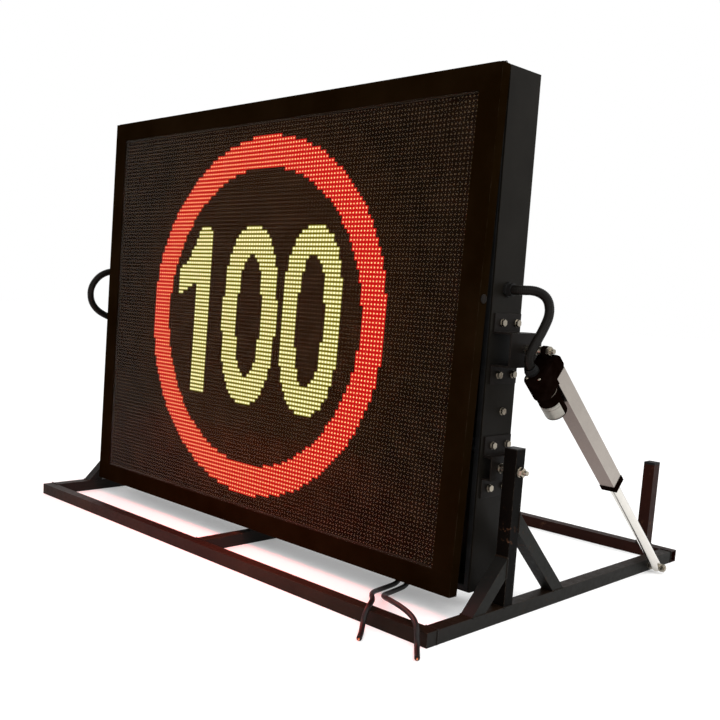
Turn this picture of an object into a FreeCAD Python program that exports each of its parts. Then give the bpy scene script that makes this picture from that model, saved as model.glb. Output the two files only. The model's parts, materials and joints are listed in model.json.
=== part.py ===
import FreeCAD, Part
import math
import os

import Sketcher

# A tilting LED speed sign on a welded base frame, in millimetres.
# X runs along the sign, Y runs back from the display, Z is up.
# The origin is at the middle of the frame's footprint, on the ground.
# Distances named "setback" are measured back from the frame's front face.

Vector = FreeCAD.Vector
Rotation = FreeCAD.Rotation
Placement = FreeCAD.Placement

DIMENSIONS = {
    # base frame
    "tube_size": 30.0,
    "tube_wall": 2.0,
    "frame_width": 1528.0,
    "frame_length": 1025.0,
    "upright_setback": 244.0,
    "upright_top": 361.0,
    "cap_thickness": 2.0,
    "front_brace_setback": 138.0,
    "rear_brace_height": 228.0,
    "post_centre_x": 678.0,
    "post_top": 249.0,
    "pad_thickness": 6.0,
    # sign cabinet
    "cabinet_width": 1388.0,
    "cabinet_height": 1060.0,
    "cabinet_bottom": 48.0,
    "cabinet_setback": 216.0,
    "cabinet_depth": 101.0,
    "sheet_thickness": 2.0,
    "front_flange": 15.0,
    "rear_flange": 20.0,
    "rear_panel_thickness": 1.5,
    "seal_thickness": 1.8,
    "seal_width": 10.0,
    # front door and display
    "door_gap": 2.0,
    "door_depth": 24.5,
    "door_return": 24.0,
    "door_ajar_angle": 2.16,
    "led_pitch": 10.0,
    "module_columns": 4.0,
    "module_rows": 6.0,
    "module_pixels_wide": 32.0,
    "module_pixels_tall": 16.0,
    "module_depth": 15.0,
    "module_setback": 4.5,
    "module_gap": 0.4,
    "window_margin": 2.0,
    "clear_sheet_thickness": 3.0,
    "hinge_radius": 4.0,
    "hinge_pin_radius": 2.0,
    "hinge_leaf_width": 18.0,
    "hinge_leaf_thickness": 1.5,
    "hinge_knuckles": 9.0,
    "lock_height": 658.0,
    "lock_radius": 7.0,
    # tilt pivot and brackets
    "pivot_setback": 259.0,
    "pivot_height": 315.0,
    "bolt_radius": 5.0,
    "running_clearance": 0.06,
    "bracket_thickness": 3.0,
    "bracket_front": 226.0,
    "bracket_width": 90.0,
    "bracket_flange": 40.0,
    "pivot_hat_height": 50.0,
    "pivot_hat_depth": 23.0,
    "arm_hat_height": 70.0,
    "arm_hat_depth": 46.0,
    "arm_hat_centre": 560.0,
    "arm_overhang": 18.0,
    "bracket_bolt_front": 252.0,
    "bracket_bolt_spacing": 50.0,
    "bracket_bolt_radius": 4.0,
    # linear actuators
    "arm_pin_setback": 280.84,
    "arm_pin_height": 563.02,
    "rail_pin_setback": 876.0,
    "rail_pin_height": 15.0,
    "actuator_x": 785.0,
    "actuator_offset": 10.0,
    "actuator_body": 448.0,
    "actuator_tube": 36.0,
    "actuator_tube_wall": 2.5,
    "gearbox_half_width": 22.0,
    "gearbox_top": 11.0,
    "gearbox_length": 63.0,
    "gearbox_nose_radius": 19.0,
    "tube_start": 43.5,
    "tube_skirt": 7.5,
    "motor_radius": 23.5,
    "motor_length": 68.0,
    "motor_offset": 52.5,
    "actuator_rod_radius": 12.0,
    "actuator_rod_inside": 40.0,
    "screw_radius": 6.0,
    "screw_end_gap": 31.0,
    "end_cap_length": 17.0,
    # gas struts
    "strut_x": 660.0,
    "strut_low_setback": 300.0,
    "strut_low_height": 700.0,
    "strut_high_setback": 206.0,
    "strut_high_height": 1004.0,
    "strut_tube_length": 200.0,
    "strut_tube_radius": 7.5,
    "strut_rod_radius": 3.5,
    # cables
    "conduit_radius": 10.0,
    "lead_radius": 5.5,
}

SIDES = {"left": -1, "right": 1}

doc = FreeCAD.newDocument("speed_sign")
sheet = doc.addObject("Spreadsheet::Sheet", "Sizes")
for row, (alias, number) in enumerate(DIMENSIONS.items(), start=1):
    sheet.set("A%d" % row, alias)
    sheet.set("B%d" % row, str(number))
    sheet.setAlias("B%d" % row, alias)
doc.recompute()


class Size:
    """A length from the sheet that also carries the expression it came from."""

    def __init__(self, number, text):
        self.number = number
        self.text = text

    def __add__(self, other):
        other = as_size(other)
        return Size(self.number + other.number, "(%s + %s)" % (self.text, other.text))

    def __sub__(self, other):
        other = as_size(other)
        return Size(self.number - other.number, "(%s - %s)" % (self.text, other.text))

    def __mul__(self, other):
        other = as_size(other)
        return Size(self.number * other.number, "(%s * %s)" % (self.text, other.text))

    def __truediv__(self, other):
        other = as_size(other)
        return Size(self.number / other.number, "(%s / %s)" % (self.text, other.text))

    def __radd__(self, other):
        return as_size(other) + self

    def __rsub__(self, other):
        return as_size(other) - self

    def __rmul__(self, other):
        return as_size(other) * self

    def __neg__(self):
        return Size(-self.number, "(0 - %s)" % self.text)


def as_size(value):
    """Turn a plain number into a Size, and leave a Size as it is."""
    if isinstance(value, Size):
        return value
    return Size(float(value), "(%.6f)" % value)


def dim(alias):
    """A driving dimension, bound to its cell of the sheet."""
    return Size(float(sheet.get(alias)), "Sizes.%s" % alias)


def bind(thing, name, value):
    """Bind one property of an object to a Size."""
    thing.setExpression(name, as_size(value).text)


def locate(thing, x, y, z):
    """Bind an object's place to three Sizes."""
    bind(thing, "Placement.Base.x", x)
    bind(thing, "Placement.Base.y", y)
    bind(thing, "Placement.Base.z", z)
    return thing


# ---------------------------------------------------------------- primitives

AXIS_TURNS = {
    "x": Rotation(Vector(0, 1, 0), 90),
    "y": Rotation(Vector(1, 0, 0), -90),
    "z": Rotation(),
}


def block(x_size, y_size, z_size, x, y, z):
    """A box with its lowest corner at x, y, z."""
    thing = doc.addObject("Part::Box", "Block")
    bind(thing, "Length", x_size)
    bind(thing, "Width", y_size)
    bind(thing, "Height", z_size)
    return locate(thing, x, y, z)


def cylinder(radius, length, x, y, z, axis="x"):
    """A cylinder that starts at x, y, z and runs along a positive axis."""
    thing = doc.addObject("Part::Cylinder", "Round")
    bind(thing, "Radius", radius)
    bind(thing, "Height", length)
    thing.Placement = Placement(Vector(), AXIS_TURNS[axis])
    return locate(thing, x, y, z)


def cylinder_out(side, radius, length, inner_x, y, z):
    """A cylinder along X that starts at inner_x and runs outwards on its side."""
    start = as_size(inner_x) if side > 0 else -(as_size(inner_x) + length)
    return cylinder(radius, length, start, y, z)


def block_out(side, x_size, y_size, z_size, inner_x, y, z):
    """A box whose inner face is at inner_x, on the left or the right side."""
    start = as_size(inner_x) if side > 0 else -(as_size(inner_x) + x_size)
    return block(x_size, y_size, z_size, start, y, z)


def hexagon_out(side, across_flats, length, inner_x, y, z):
    """A hexagonal prism along X that starts at inner_x and runs outwards."""
    thing = doc.addObject("Part::Prism", "Hexagon")
    thing.Polygon = 6
    bind(thing, "Circumradius", as_size(across_flats) / math.sqrt(3))
    bind(thing, "Height", length)
    thing.Placement = Placement(Vector(), AXIS_TURNS["x"])
    start = as_size(inner_x) if side > 0 else -(as_size(inner_x) + length)
    return locate(thing, start, y, z)


def cut(base, tools):
    """The base with every tool taken away."""
    thing = doc.addObject("Part::Cut", "Cut")
    thing.Base = base
    thing.Tool = tools[0] if len(tools) == 1 else group(tools)
    return thing


def fuse(shapes):
    """One solid made of several."""
    thing = doc.addObject("Part::MultiFuse", "Fusion")
    thing.Shapes = shapes
    thing.Refine = True
    return thing


def group(things):
    """Several separate solids that share one node."""
    thing = doc.addObject("Part::Compound", "Group")
    thing.Links = things
    return thing


# ---------------------------------------------------------------- sketched bodies

def new_body():
    return doc.addObject("PartDesign::Body", "Body")


def attach(body, role):
    """A sketch on one of the body's own origin planes."""
    sketch = body.newObject("Sketcher::SketchObject", "Sketch")
    plane = [item for item in body.Origin.OriginFeatures if item.Role == role][0]
    sketch.AttachmentSupport = [(plane, "")]
    sketch.MapMode = "FlatFace"
    return sketch


def fix_vertex(sketch, line, x, y):
    """Tie the start of a line to two Sizes, measured from the sketch's origin."""
    for kind, axis, value in (("DistanceX", -2, as_size(x)), ("DistanceY", -1, as_size(y))):
        if abs(value.number) < 1e-6:
            sketch.addConstraint(Sketcher.Constraint("PointOnObject", line, 1, axis))
        elif value.number > 0:
            index = sketch.addConstraint(Sketcher.Constraint(kind, -1, 1, line, 1, value.number))
            sketch.setExpression("Constraints[%d]" % index, value.text)
        else:
            index = sketch.addConstraint(Sketcher.Constraint(kind, line, 1, -1, 1, -value.number))
            sketch.setExpression("Constraints[%d]" % index, (-value).text)


def draw_polygon(sketch, corners):
    """A closed outline whose corners are all tied to the sheet."""
    first = sketch.GeometryCount
    points = [Vector(as_size(x).number, as_size(y).number, 0) for x, y in corners]
    count = len(points)
    for index in range(count):
        sketch.addGeometry(Part.LineSegment(points[index], points[(index + 1) % count]), False)
    for index in range(count):
        following = first + (index + 1) % count
        sketch.addConstraint(Sketcher.Constraint("Coincident", first + index, 2, following, 1))
    for index, (x, y) in enumerate(corners):
        fix_vertex(sketch, first + index, x, y)


def rectangle(left, bottom, right, top):
    return [(left, bottom), (right, bottom), (right, top), (left, top)]


def pad(body, sketch, length, symmetric=False, reverse=False):
    feature = body.newObject("PartDesign::Pad", "Pad")
    feature.Profile = sketch
    bind(feature, "Length", length)
    feature.Midplane = symmetric
    feature.Reversed = reverse
    return feature


def pocket_through(body, sketch, length):
    """A pocket that cuts evenly on both sides of its sketch."""
    feature = body.newObject("PartDesign::Pocket", "Pocket")
    feature.Profile = sketch
    bind(feature, "Length", length)
    feature.Midplane = True
    return feature


def ring_pad(body, outer, inner, offset, length):
    """A rectangular ring on the XZ plane, padded back along Y from an offset."""
    sketch = attach(body, "XZ_Plane")
    bind(sketch, "AttachmentOffset.Base.z", -as_size(offset))
    draw_polygon(sketch, outer)
    draw_polygon(sketch, inner)
    return pad(body, sketch, length, reverse=True)


# ---------------------------------------------------------------- shared places

front = -dim("frame_length") / 2
half_frame = dim("frame_width") / 2
half_cabinet = dim("cabinet_width") / 2
tube = dim("tube_size")
cabinet_front = front + dim("cabinet_setback")
cabinet_back = cabinet_front + dim("cabinet_depth")
cabinet_top = dim("cabinet_bottom") + dim("cabinet_height")
sheet_metal = dim("sheet_thickness")
door_back = cabinet_front - dim("door_gap")
door_front = door_back - dim("door_depth")
upright_inner = half_frame - tube
pivot_y = front + dim("pivot_setback")
pivot_z = dim("pivot_height")
bolt = dim("bolt_radius")
bore = bolt + dim("running_clearance")
loose_hole = bolt + 0.3
nodes = {}


def add_node(name, thing, pose=None):
    """Name a sub-part, and place it when it is built in a frame of its own."""
    thing.Label = name
    if pose is not None:
        thing.Placement = pose
    nodes[name] = thing
    return thing


# ---------------------------------------------------------------- base frame

def square_tube(length, axis, x, y, z, closed_ends=False):
    """A square steel tube along one axis, open at both ends unless closed."""
    wall = dim("tube_wall")
    inside = tube - 2 * wall
    inset = wall if closed_ends else as_size(-1)
    hollow = as_size(length) - 2 * inset
    sizes = {"x": (length, tube, tube), "y": (tube, length, tube), "z": (tube, tube, length)}
    hollows = {"x": (hollow, inside, inside), "y": (inside, hollow, inside), "z": (inside, inside, hollow)}
    shifts = {"x": (inset, wall, wall), "y": (wall, inset, wall), "z": (wall, wall, inset)}
    shift = shifts[axis]
    outer = block(*sizes[axis], x, y, z)
    inner = block(*hollows[axis], x + shift[0], y + shift[1], z + shift[2])
    return cut(outer, [inner])


def slanted_tube(side, corners, inner_corners):
    """A tube cut off square to the rail and the upright that it joins."""
    body = new_body()
    outline = attach(body, "YZ_Plane")
    draw_polygon(outline, corners)
    pad(body, outline, tube, symmetric=True)
    hollow = attach(body, "YZ_Plane")
    draw_polygon(hollow, inner_corners)
    pocket_through(body, hollow, tube - 2 * dim("tube_wall"))
    return locate(body, side * (half_frame - tube / 2), 0, 0)


def make_base():
    rear = front + dim("frame_length") - tube
    zero = as_size(0)
    add_node("front_rail", square_tube(dim("frame_width"), "x", -half_frame, front, zero, closed_ends=True))
    add_node("rear_rail", square_tube(dim("frame_width"), "x", -half_frame, rear, zero))
    between = dim("frame_length") - 2 * tube
    add_node("cross_rail", square_tube(between, "y", -tube / 2, front + tube, zero))
    upright_y = front + dim("upright_setback")
    pin_y = front + dim("rail_pin_setback")
    for name, side in SIDES.items():
        inner = upright_inner if side > 0 else -half_frame
        rail = square_tube(between, "y", inner, front + tube, zero)
        hole = cylinder_out(side, loose_hole, tube + 2, upright_inner - 1, pin_y, dim("rail_pin_height"))
        add_node("side_rail_" + name, cut(rail, [hole]))
        post = square_tube(dim("upright_top") - tube, "z", inner, upright_y, tube)
        hole = cylinder_out(side, bore, tube + 2, upright_inner - 1, pivot_y, pivot_z)
        add_node("upright_" + name, cut(post, [hole]))
    braces = [make(side) for side in SIDES.values() for make in (front_brace, rear_brace)]
    add_node("frame_braces", group(braces))
    add_node("upright_caps", group([upright_cap(side, upright_y) for side in SIDES.values()]))
    posts = []
    pads = []
    for side in SIDES.values():
        rest_x = side * dim("post_centre_x") - tube / 2
        posts.append(square_tube(dim("post_top") - tube, "z", rest_x, rear, tube))
        pads.append(block(tube, tube, dim("pad_thickness"), rest_x, rear, dim("post_top")))
    add_node("rest_posts", group(posts))
    add_node("rest_pads", group(pads))
    add_node("anchor_studs", group([anchor_stud(side, pin_y) for side in SIDES.values()]))


def front_brace(side):
    """A short brace that rises at 45 degrees to the upright's front face."""
    footprint = tube * math.sqrt(2)
    skin = dim("tube_wall") * math.sqrt(2)
    foot = front + dim("front_brace_setback")
    upright_y = front + dim("upright_setback")
    rise = dim("upright_setback") - dim("front_brace_setback")
    over = 20
    outer = [(foot, tube), (foot + footprint, tube),
             (upright_y, tube + rise - footprint), (upright_y, tube + rise)]
    inner = [(foot + skin - over, tube - over), (foot + footprint - skin - over, tube - over),
             (upright_y + over, tube + rise - footprint + skin + over),
             (upright_y + over, tube + rise - skin + over)]
    return slanted_tube(side, outer, inner)


def rear_brace(side):
    """A long brace that falls at 45 degrees from the upright's rear face."""
    footprint = tube * math.sqrt(2)
    skin = dim("tube_wall") * math.sqrt(2)
    back = front + dim("upright_setback") + tube
    high = dim("rear_brace_height")
    foot = back + high - tube
    over = 20
    outer = [(back, high - footprint), (foot - footprint, tube), (foot, tube), (back, high)]
    inner = [(back - over, high - footprint + skin + over), (foot - footprint + skin + over, tube - over),
             (foot - skin + over, tube - over), (back - over, high - skin + over)]
    return slanted_tube(side, outer, inner)


def upright_cap(side, upright_y):
    """A plastic cap with a plug that sits inside the upright."""
    clearance = 0.2
    plug_depth = 12
    inset = dim("tube_wall") + clearance
    plug = tube - 2 * inset
    top = dim("upright_top")
    plate = block_out(side, tube, tube, dim("cap_thickness"), upright_inner, upright_y, top)
    stem = block_out(side, plug, plug, plug_depth, upright_inner + inset, upright_y + inset, top - plug_depth)
    return fuse([plate, stem])


def anchor_stud(side, pin_y):
    """The fixed half of the lower actuator pivot: a stud with its head inside the frame."""
    head = 7
    nut = 8
    height = dim("rail_pin_height")
    shank = cylinder_out(side, bolt, tube + nut, upright_inner, pin_y, height)
    inner_head = hexagon_out(side, 17, head, upright_inner - head, pin_y, height)
    outer_nut = hexagon_out(side, 17, nut, half_frame, pin_y, height)
    return fuse([shank, inner_head, outer_nut])


# ---------------------------------------------------------------- sign cabinet

CONDUIT_EXIT = (262.0, 680.0)
LEAD_EXITS = {"lead_long": (508.0, 242.0), "lead_short": (482.0, 242.0)}
SCREW_COLUMNS = 5
SCREW_ROWS = 4
LOUVRE_SLOTS = 7
SIDE_BOLT = (279.0, 430.0)


def bracket_bolt_places():
    """Setback and height of every bolt that holds a bracket to the cabinet's side."""
    pivot_reach = dim("pivot_hat_height") / 2 + dim("bracket_flange") / 2
    arm_reach = dim("arm_hat_height") / 2 + dim("bracket_flange") / 2 - 2
    places = []
    for centre, reach in ((pivot_z, pivot_reach), (dim("arm_hat_centre"), arm_reach)):
        for height in (centre - reach, centre + reach):
            for step in (0, 1):
                setback = front + dim("bracket_bolt_front") + step * dim("bracket_bolt_spacing")
                places.append((setback, height))
    return places


def rear_screw_places():
    """Centres of the rear panel's screws, round its edge."""
    edge = dim("rear_flange") / 2
    half = half_cabinet - edge
    low = dim("cabinet_bottom") + edge
    high = cabinet_top - edge
    places = []
    for column in range(SCREW_COLUMNS):
        x = -half + 2 * half * column / (SCREW_COLUMNS - 1)
        places.append((x, low))
        places.append((x, high))
    for row in range(1, SCREW_ROWS):
        z = low + (high - low) * row / SCREW_ROWS
        places.append((-half, z))
        places.append((half, z))
    return places


def make_cabinet_shell():
    body = new_body()
    low = dim("cabinet_bottom")

    def frame_at(inset):
        return rectangle(inset - half_cabinet, low + inset, half_cabinet - inset, cabinet_top - inset)

    outer = frame_at(0)
    ring_pad(body, outer, frame_at(sheet_metal), cabinet_front, dim("cabinet_depth"))
    ring_pad(body, outer, frame_at(dim("front_flange")), cabinet_front, sheet_metal)
    ring_pad(body, outer, frame_at(dim("rear_flange")), cabinet_back - sheet_metal, sheet_metal)
    drills = []
    margin = 3
    reach = sheet_metal + 2 * margin
    wall = half_cabinet - sheet_metal - margin
    bolt_hole = dim("bracket_bolt_radius") + 0.3
    for side in SIDES.values():
        for setback, height in bracket_bolt_places():
            drills.append(cylinder_out(side, bolt_hole, reach, wall, setback, height))
        drills.append(cylinder_out(side, bolt_hole, reach, wall, front + SIDE_BOLT[0], SIDE_BOLT[1]))
        drills.append(cylinder_out(side, 9, reach, wall, front + CONDUIT_EXIT[0], CONDUIT_EXIT[1]))
    for x, setback in LEAD_EXITS.values():
        drills.append(cylinder(6, reach, x, front + setback, low - margin, axis="z"))
    for x, z in rear_screw_places():
        drills.append(cylinder(2.7, reach, x, cabinet_back - sheet_metal - margin, z, axis="y"))
    add_node("cabinet_shell", cut(body, drills))


def make_rear_panel():
    thickness = dim("rear_panel_thickness")
    low = dim("cabinet_bottom")
    plate = block(dim("cabinet_width"), thickness, dim("cabinet_height"), -half_cabinet, cabinet_back, low)
    slot_length = 150
    slot_height = 5
    slot_pitch = 16
    tools = []
    for x_centre in (-420, 420):
        for z_base in (160, 880):
            for index in range(LOUVRE_SLOTS):
                tools.append(block(slot_length, thickness + 2, slot_height, x_centre - slot_length / 2,
                                   cabinet_back - 1, z_base + index * slot_pitch))
    for x, z in rear_screw_places():
        tools.append(cylinder(2.7, thickness + 2, x, cabinet_back - 1, z, axis="y"))
    add_node("rear_panel", cut(plate, tools))
    screws = []
    head = 2.5
    for x, z in rear_screw_places():
        outside = cabinet_back + thickness
        shank = cylinder(2.5, 8, x, outside - 8, z, axis="y")
        screws.append(fuse([shank, cylinder(4.6, head, x, outside, z, axis="y")]))
    add_node("rear_screws", group(screws))


def make_door_seal():
    body = new_body()
    inset = 4
    inner = dim("seal_width") + inset
    low = dim("cabinet_bottom")
    outer = rectangle(inset - half_cabinet, low + inset, half_cabinet - inset, cabinet_top - inset)
    opening = rectangle(inner - half_cabinet, low + inner, half_cabinet - inner, cabinet_top - inner)
    ring_pad(body, outer, opening, cabinet_front - dim("seal_thickness"), dim("seal_thickness"))
    add_node("door_seal", body)


def hat_outline(side, centre, height, depth, flange, thickness):
    """A hat section, drawn in X and Z: two flanges on the cabinet and a raised face."""
    wall = half_cabinet
    low = centre - height / 2
    high = centre + height / 2
    corners = [
        (wall, low - flange), (wall + thickness, low - flange), (wall + thickness, low),
        (wall + depth, low), (wall + depth, high), (wall + thickness, high),
        (wall + thickness, high + flange), (wall, high + flange), (wall, high - thickness),
        (wall + depth - thickness, high - thickness), (wall + depth - thickness, low + thickness),
        (wall, low + thickness),
    ]
    return [(side * x, z) for x, z in corners]


def channel_outline(side, centre, height, depth, thickness):
    """The arm behind the cabinet: the hat section without its flanges."""
    wall = half_cabinet
    low = centre - height / 2
    high = centre + height / 2
    corners = [
        (wall, low), (wall + depth, low), (wall + depth, high), (wall, high),
        (wall, high - thickness), (wall + depth - thickness, high - thickness),
        (wall + depth - thickness, low + thickness), (wall, low + thickness),
    ]
    return [(side * x, z) for x, z in corners]


def back_pad(body, outline, setback, length):
    """Pad an XZ outline back along Y from a setback."""
    sketch = attach(body, "XZ_Plane")
    bind(sketch, "AttachmentOffset.Base.z", -(front + setback))
    draw_polygon(sketch, outline)
    return pad(body, sketch, length, reverse=True)


def make_brackets():
    thickness = dim("bracket_thickness")
    bolt_hole = dim("bracket_bolt_radius") + 0.3
    reach = thickness + 2
    for name, side in SIDES.items():
        places = bracket_bolt_places()
        body = new_body()
        outline = hat_outline(side, pivot_z, dim("pivot_hat_height"), dim("pivot_hat_depth"),
                              dim("bracket_flange"), thickness)
        back_pad(body, outline, dim("bracket_front"), dim("bracket_width"))
        drills = [cylinder_out(side, bolt_hole, reach, half_cabinet - 1, y, z) for y, z in places[:4]]
        face = half_cabinet + dim("pivot_hat_depth") - thickness - 1
        drills.append(cylinder_out(side, loose_hole, reach, face, pivot_y, pivot_z))
        add_node("pivot_bracket_" + name, cut(body, drills))

        body = new_body()
        outline = hat_outline(side, dim("arm_hat_centre"), dim("arm_hat_height"), dim("arm_hat_depth"),
                              dim("bracket_flange") - 3, thickness)
        back_pad(body, outline, dim("bracket_front"), dim("bracket_width"))
        arm = channel_outline(side, dim("arm_hat_centre"), dim("arm_hat_height"), dim("arm_hat_depth"), thickness)
        back_pad(body, arm, dim("bracket_front") + dim("bracket_width"), dim("arm_overhang"))
        drills = [cylinder_out(side, bolt_hole, reach, half_cabinet - 1, y, z) for y, z in places[4:]]
        face = half_cabinet + dim("arm_hat_depth") - thickness - 1
        drills.append(cylinder_out(side, loose_hole, reach, face, front + dim("arm_pin_setback"),
                                   dim("arm_pin_height")))
        add_node("actuator_bracket_" + name, cut(body, drills))


def make_sign_fasteners():
    """Bracket bolts, the two tilt pivot bolts, the actuators' top bolts, and their spacers."""
    thickness = dim("bracket_thickness")
    outside = half_cabinet + thickness
    bolts = []
    for side in SIDES.values():
        places = [(y, z, outside) for y, z in bracket_bolt_places()]
        places.append((front + SIDE_BOLT[0], as_size(SIDE_BOLT[1]), half_cabinet))
        for y, z, face in places:
            shank = cylinder_out(side, dim("bracket_bolt_radius"), 16, face - 14, y, z)
            washer = cylinder_out(side, 8, 1.6, face, y, z)
            head = hexagon_out(side, 13, 5.3, face + 1.6, y, z)
            bolts.append(fuse([shank, washer, head]))
    add_node("bracket_bolts", group(bolts))

    hat_face = half_cabinet + dim("pivot_hat_depth")
    pivots = []
    spacers = []
    for side in SIDES.values():
        head = hexagon_out(side, 17, 6.4, hat_face - thickness - 6.4, pivot_y, pivot_z)
        shank = cylinder_out(side, bolt, half_frame + 19 - hat_face + thickness, hat_face - thickness,
                             pivot_y, pivot_z)
        pieces = [head, shank]
        pieces.append(cylinder_out(side, 10.5, 2, hat_face, pivot_y, pivot_z))
        pieces.append(hexagon_out(side, 17, 8, hat_face + 2, pivot_y, pivot_z))
        pieces.append(cylinder_out(side, 10.5, 2, half_frame + 0.3, pivot_y, pivot_z))
        pieces.append(hexagon_out(side, 17, 8, half_frame + 2.3, pivot_y, pivot_z))
        pivots.append(fuse(pieces))
        gap = upright_inner - hat_face - 10
        sleeve = cylinder_out(side, 9, gap - 0.3, hat_face + 10, pivot_y, pivot_z)
        hole = cylinder_out(side, loose_hole, gap + 2, hat_face + 9, pivot_y, pivot_z)
        spacers.append(cut(sleeve, [hole]))

    arm_face = half_cabinet + dim("arm_hat_depth")
    lug = dim("actuator_x") - LUG_HALF_WIDTH
    pin_y = front + dim("arm_pin_setback")
    pin_z = dim("arm_pin_height")
    for side in SIDES.values():
        head = hexagon_out(side, 17, 6.4, arm_face - thickness - 6.4, pin_y, pin_z)
        outer = dim("actuator_x") + LUG_HALF_WIDTH
        shank = cylinder_out(side, bolt, outer - arm_face + thickness + 16, arm_face - thickness, pin_y, pin_z)
        nut = hexagon_out(side, 17, 8, outer + 0.3, pin_y, pin_z)
        pivots.append(fuse([head, shank, nut]))
        sleeve = cylinder_out(side, 9, lug - arm_face - 0.3, arm_face, pin_y, pin_z)
        hole = cylinder_out(side, loose_hole, lug - arm_face + 2, arm_face - 1, pin_y, pin_z)
        spacers.append(cut(sleeve, [hole]))
    add_node("pivot_bolts", group(pivots))
    add_node("pivot_spacers", group(spacers))


def make_equipment():
    """What hangs on the rails inside the cabinet: power supplies and the controller."""
    rail_height = 30
    rail_depth = 6
    rail_back = cabinet_back - sheet_metal - 1
    inside = half_cabinet - sheet_metal
    rails = [block(2 * inside, rail_depth, rail_height, -inside, rail_back - rail_depth, z) for z in (330, 760)]
    add_node("equipment_rails", group(rails))
    supply_size = (112, 30, 215)
    supplies = []
    for x in (-560, -240, 130, 450):
        face = rail_back - rail_depth - supply_size[1]
        case = block(*supply_size, x, face, 720)
        terminals = block(90, 12, 14, x + 11, face + 9, 720 - 14)
        supplies.append(fuse([case, terminals]))
    add_node("power_supplies", group(supplies))
    controller = block(180, 36, 130, -90, rail_back - rail_depth - 36, 290)
    sockets = [block(16, 14, 12, x, rail_back - rail_depth - 24, 278) for x in (-70, -35, 0, 35)]
    add_node("sign_controller", fuse([controller] + sockets))


def make_glands():
    glands = []
    y = front + CONDUIT_EXIT[0]
    for side in SIDES.values():
        stem = cylinder_out(side, 8.6, 14, half_cabinet - 10, y, CONDUIT_EXIT[1])
        collar = hexagon_out(side, 27, 6, half_cabinet, y, CONDUIT_EXIT[1])
        dome = cylinder_out(side, 13, 10, half_cabinet + 6, y, CONDUIT_EXIT[1])
        glands.append(fuse([stem, collar, dome]))
    low = dim("cabinet_bottom")
    for x, setback in LEAD_EXITS.values():
        stem = cylinder(5.7, 16, x, front + setback, low - 4, axis="z")
        nose = cylinder(8, 10, x, front + setback, low - 10, axis="z")
        glands.append(fuse([stem, nose]))
    add_node("cable_glands", group(glands))


# ---------------------------------------------------------------- cables

def cable_path(points):
    """Straight runs joined by tangent arcs, each as large as its two runs allow."""
    edges = []
    radii = []
    start = points[0]
    for before, corner, after in zip(points, points[1:], points[2:]):
        run_in = (corner - before).normalize()
        run_out = (after - corner).normalize()
        turn = run_in.getAngle(run_out)
        setback = 0.45 * min(before.distanceToPoint(corner), corner.distanceToPoint(after))
        radii.append(setback / math.tan(turn / 2))
        arc_start = corner - run_in * setback
        arc_end = corner + run_out * setback
        bisector = (run_out - run_in).normalize()
        centre = corner + bisector * (radii[-1] / math.cos(turn / 2))
        middle = centre - bisector * radii[-1]
        edges.append(Part.LineSegment(start, arc_start).toShape())
        edges.append(Part.Arc(arc_start, middle, arc_end).toShape())
        start = arc_end
    edges.append(Part.LineSegment(start, points[-1]).toShape())
    return Part.Wire(edges), radii


def make_cable(name, points, radius):
    """A cable's plain tube, checked against its section times its length."""
    spots = [Vector(*point) for point in points]
    wire, radii = cable_path(spots)
    heading = (spots[1] - spots[0]).normalize()
    profile = Part.Wire([Part.makeCircle(radius.number, spots[0], heading)])
    shape = wire.makePipeShell([profile], True, False)
    expected = math.pi * radius.number ** 2 * wire.Length
    print("%s length %.1f mm, volume ratio %.4f" % (name, wire.Length, shape.Volume / expected))
    print("  radii", " ".join("%.0f" % value for value in radii))
    thing = doc.addObject("Part::Feature", "Cable")
    thing.Shape = shape
    add_node(name, thing)


def make_cables():
    """Conduits loop from the cabinet to the actuators; two supply leads lie over the front rail."""
    conduits = {
        "conduit_left": [
            (-710, 262, 680), (-734, 262, 680), (-751, 238, 683), (-757, 204, 680), (-760, 171, 662),
            (-764, 149, 627), (-768, 153, 588), (-774, 177, 561), (-780, 210, 545), (-784, 238.7, 536.3),
            (-784, 256.58, 520.3),
        ],
        "conduit_right": [
            (710, 262, 680), (729, 262, 680), (752, 280, 681), (770, 296, 668), (777, 299, 638),
            (778, 280, 608), (777, 258, 580), (775, 241, 554), (775, 242.44, 533), (775, 256.58, 520.3),
        ],
    }
    leads = {
        "lead_short": [
            (482, 242, 38), (482, 242, 23), (487, 223, 12.5), (493, 192, 13), (503, 150, 16),
            (523, 105, 24), (556, 65, 34.5), (588, 35, 40.5), (603, 13, 41), (613, -7, 38),
            (618, -19, 27), (623, -28, 15), (633, -41, 7.5), (647, -58, 6), (661, -77, 6),
        ],
        "lead_long": [
            (508, 242, 38), (508, 242, 23), (513, 223, 12.5), (520, 192, 13), (531, 150, 16),
            (552, 107, 25), (587, 70, 38), (630, 43, 48), (676, 25, 51), (712, 12, 48),
            (735, -1, 42), (747, -11, 31), (753, -16, 17), (762, -26, 7.5), (777, -43, 6),
            (792, -60, 6),
        ],
    }
    for routes, radius in ((conduits, dim("conduit_radius")), (leads, dim("lead_radius"))):
        for name, route in routes.items():
            make_cable(name, [(x, front.number + setback, z) for x, setback, z in route], radius)


# ---------------------------------------------------------------- front door

hinge_y = door_back + dim("door_gap") / 2
hinge_z = cabinet_top + dim("hinge_radius")
door_pose = Placement(Vector(), Rotation(Vector(-1, 0, 0), dim("door_ajar_angle").number),
                      Vector(0, hinge_y.number, hinge_z.number))


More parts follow.
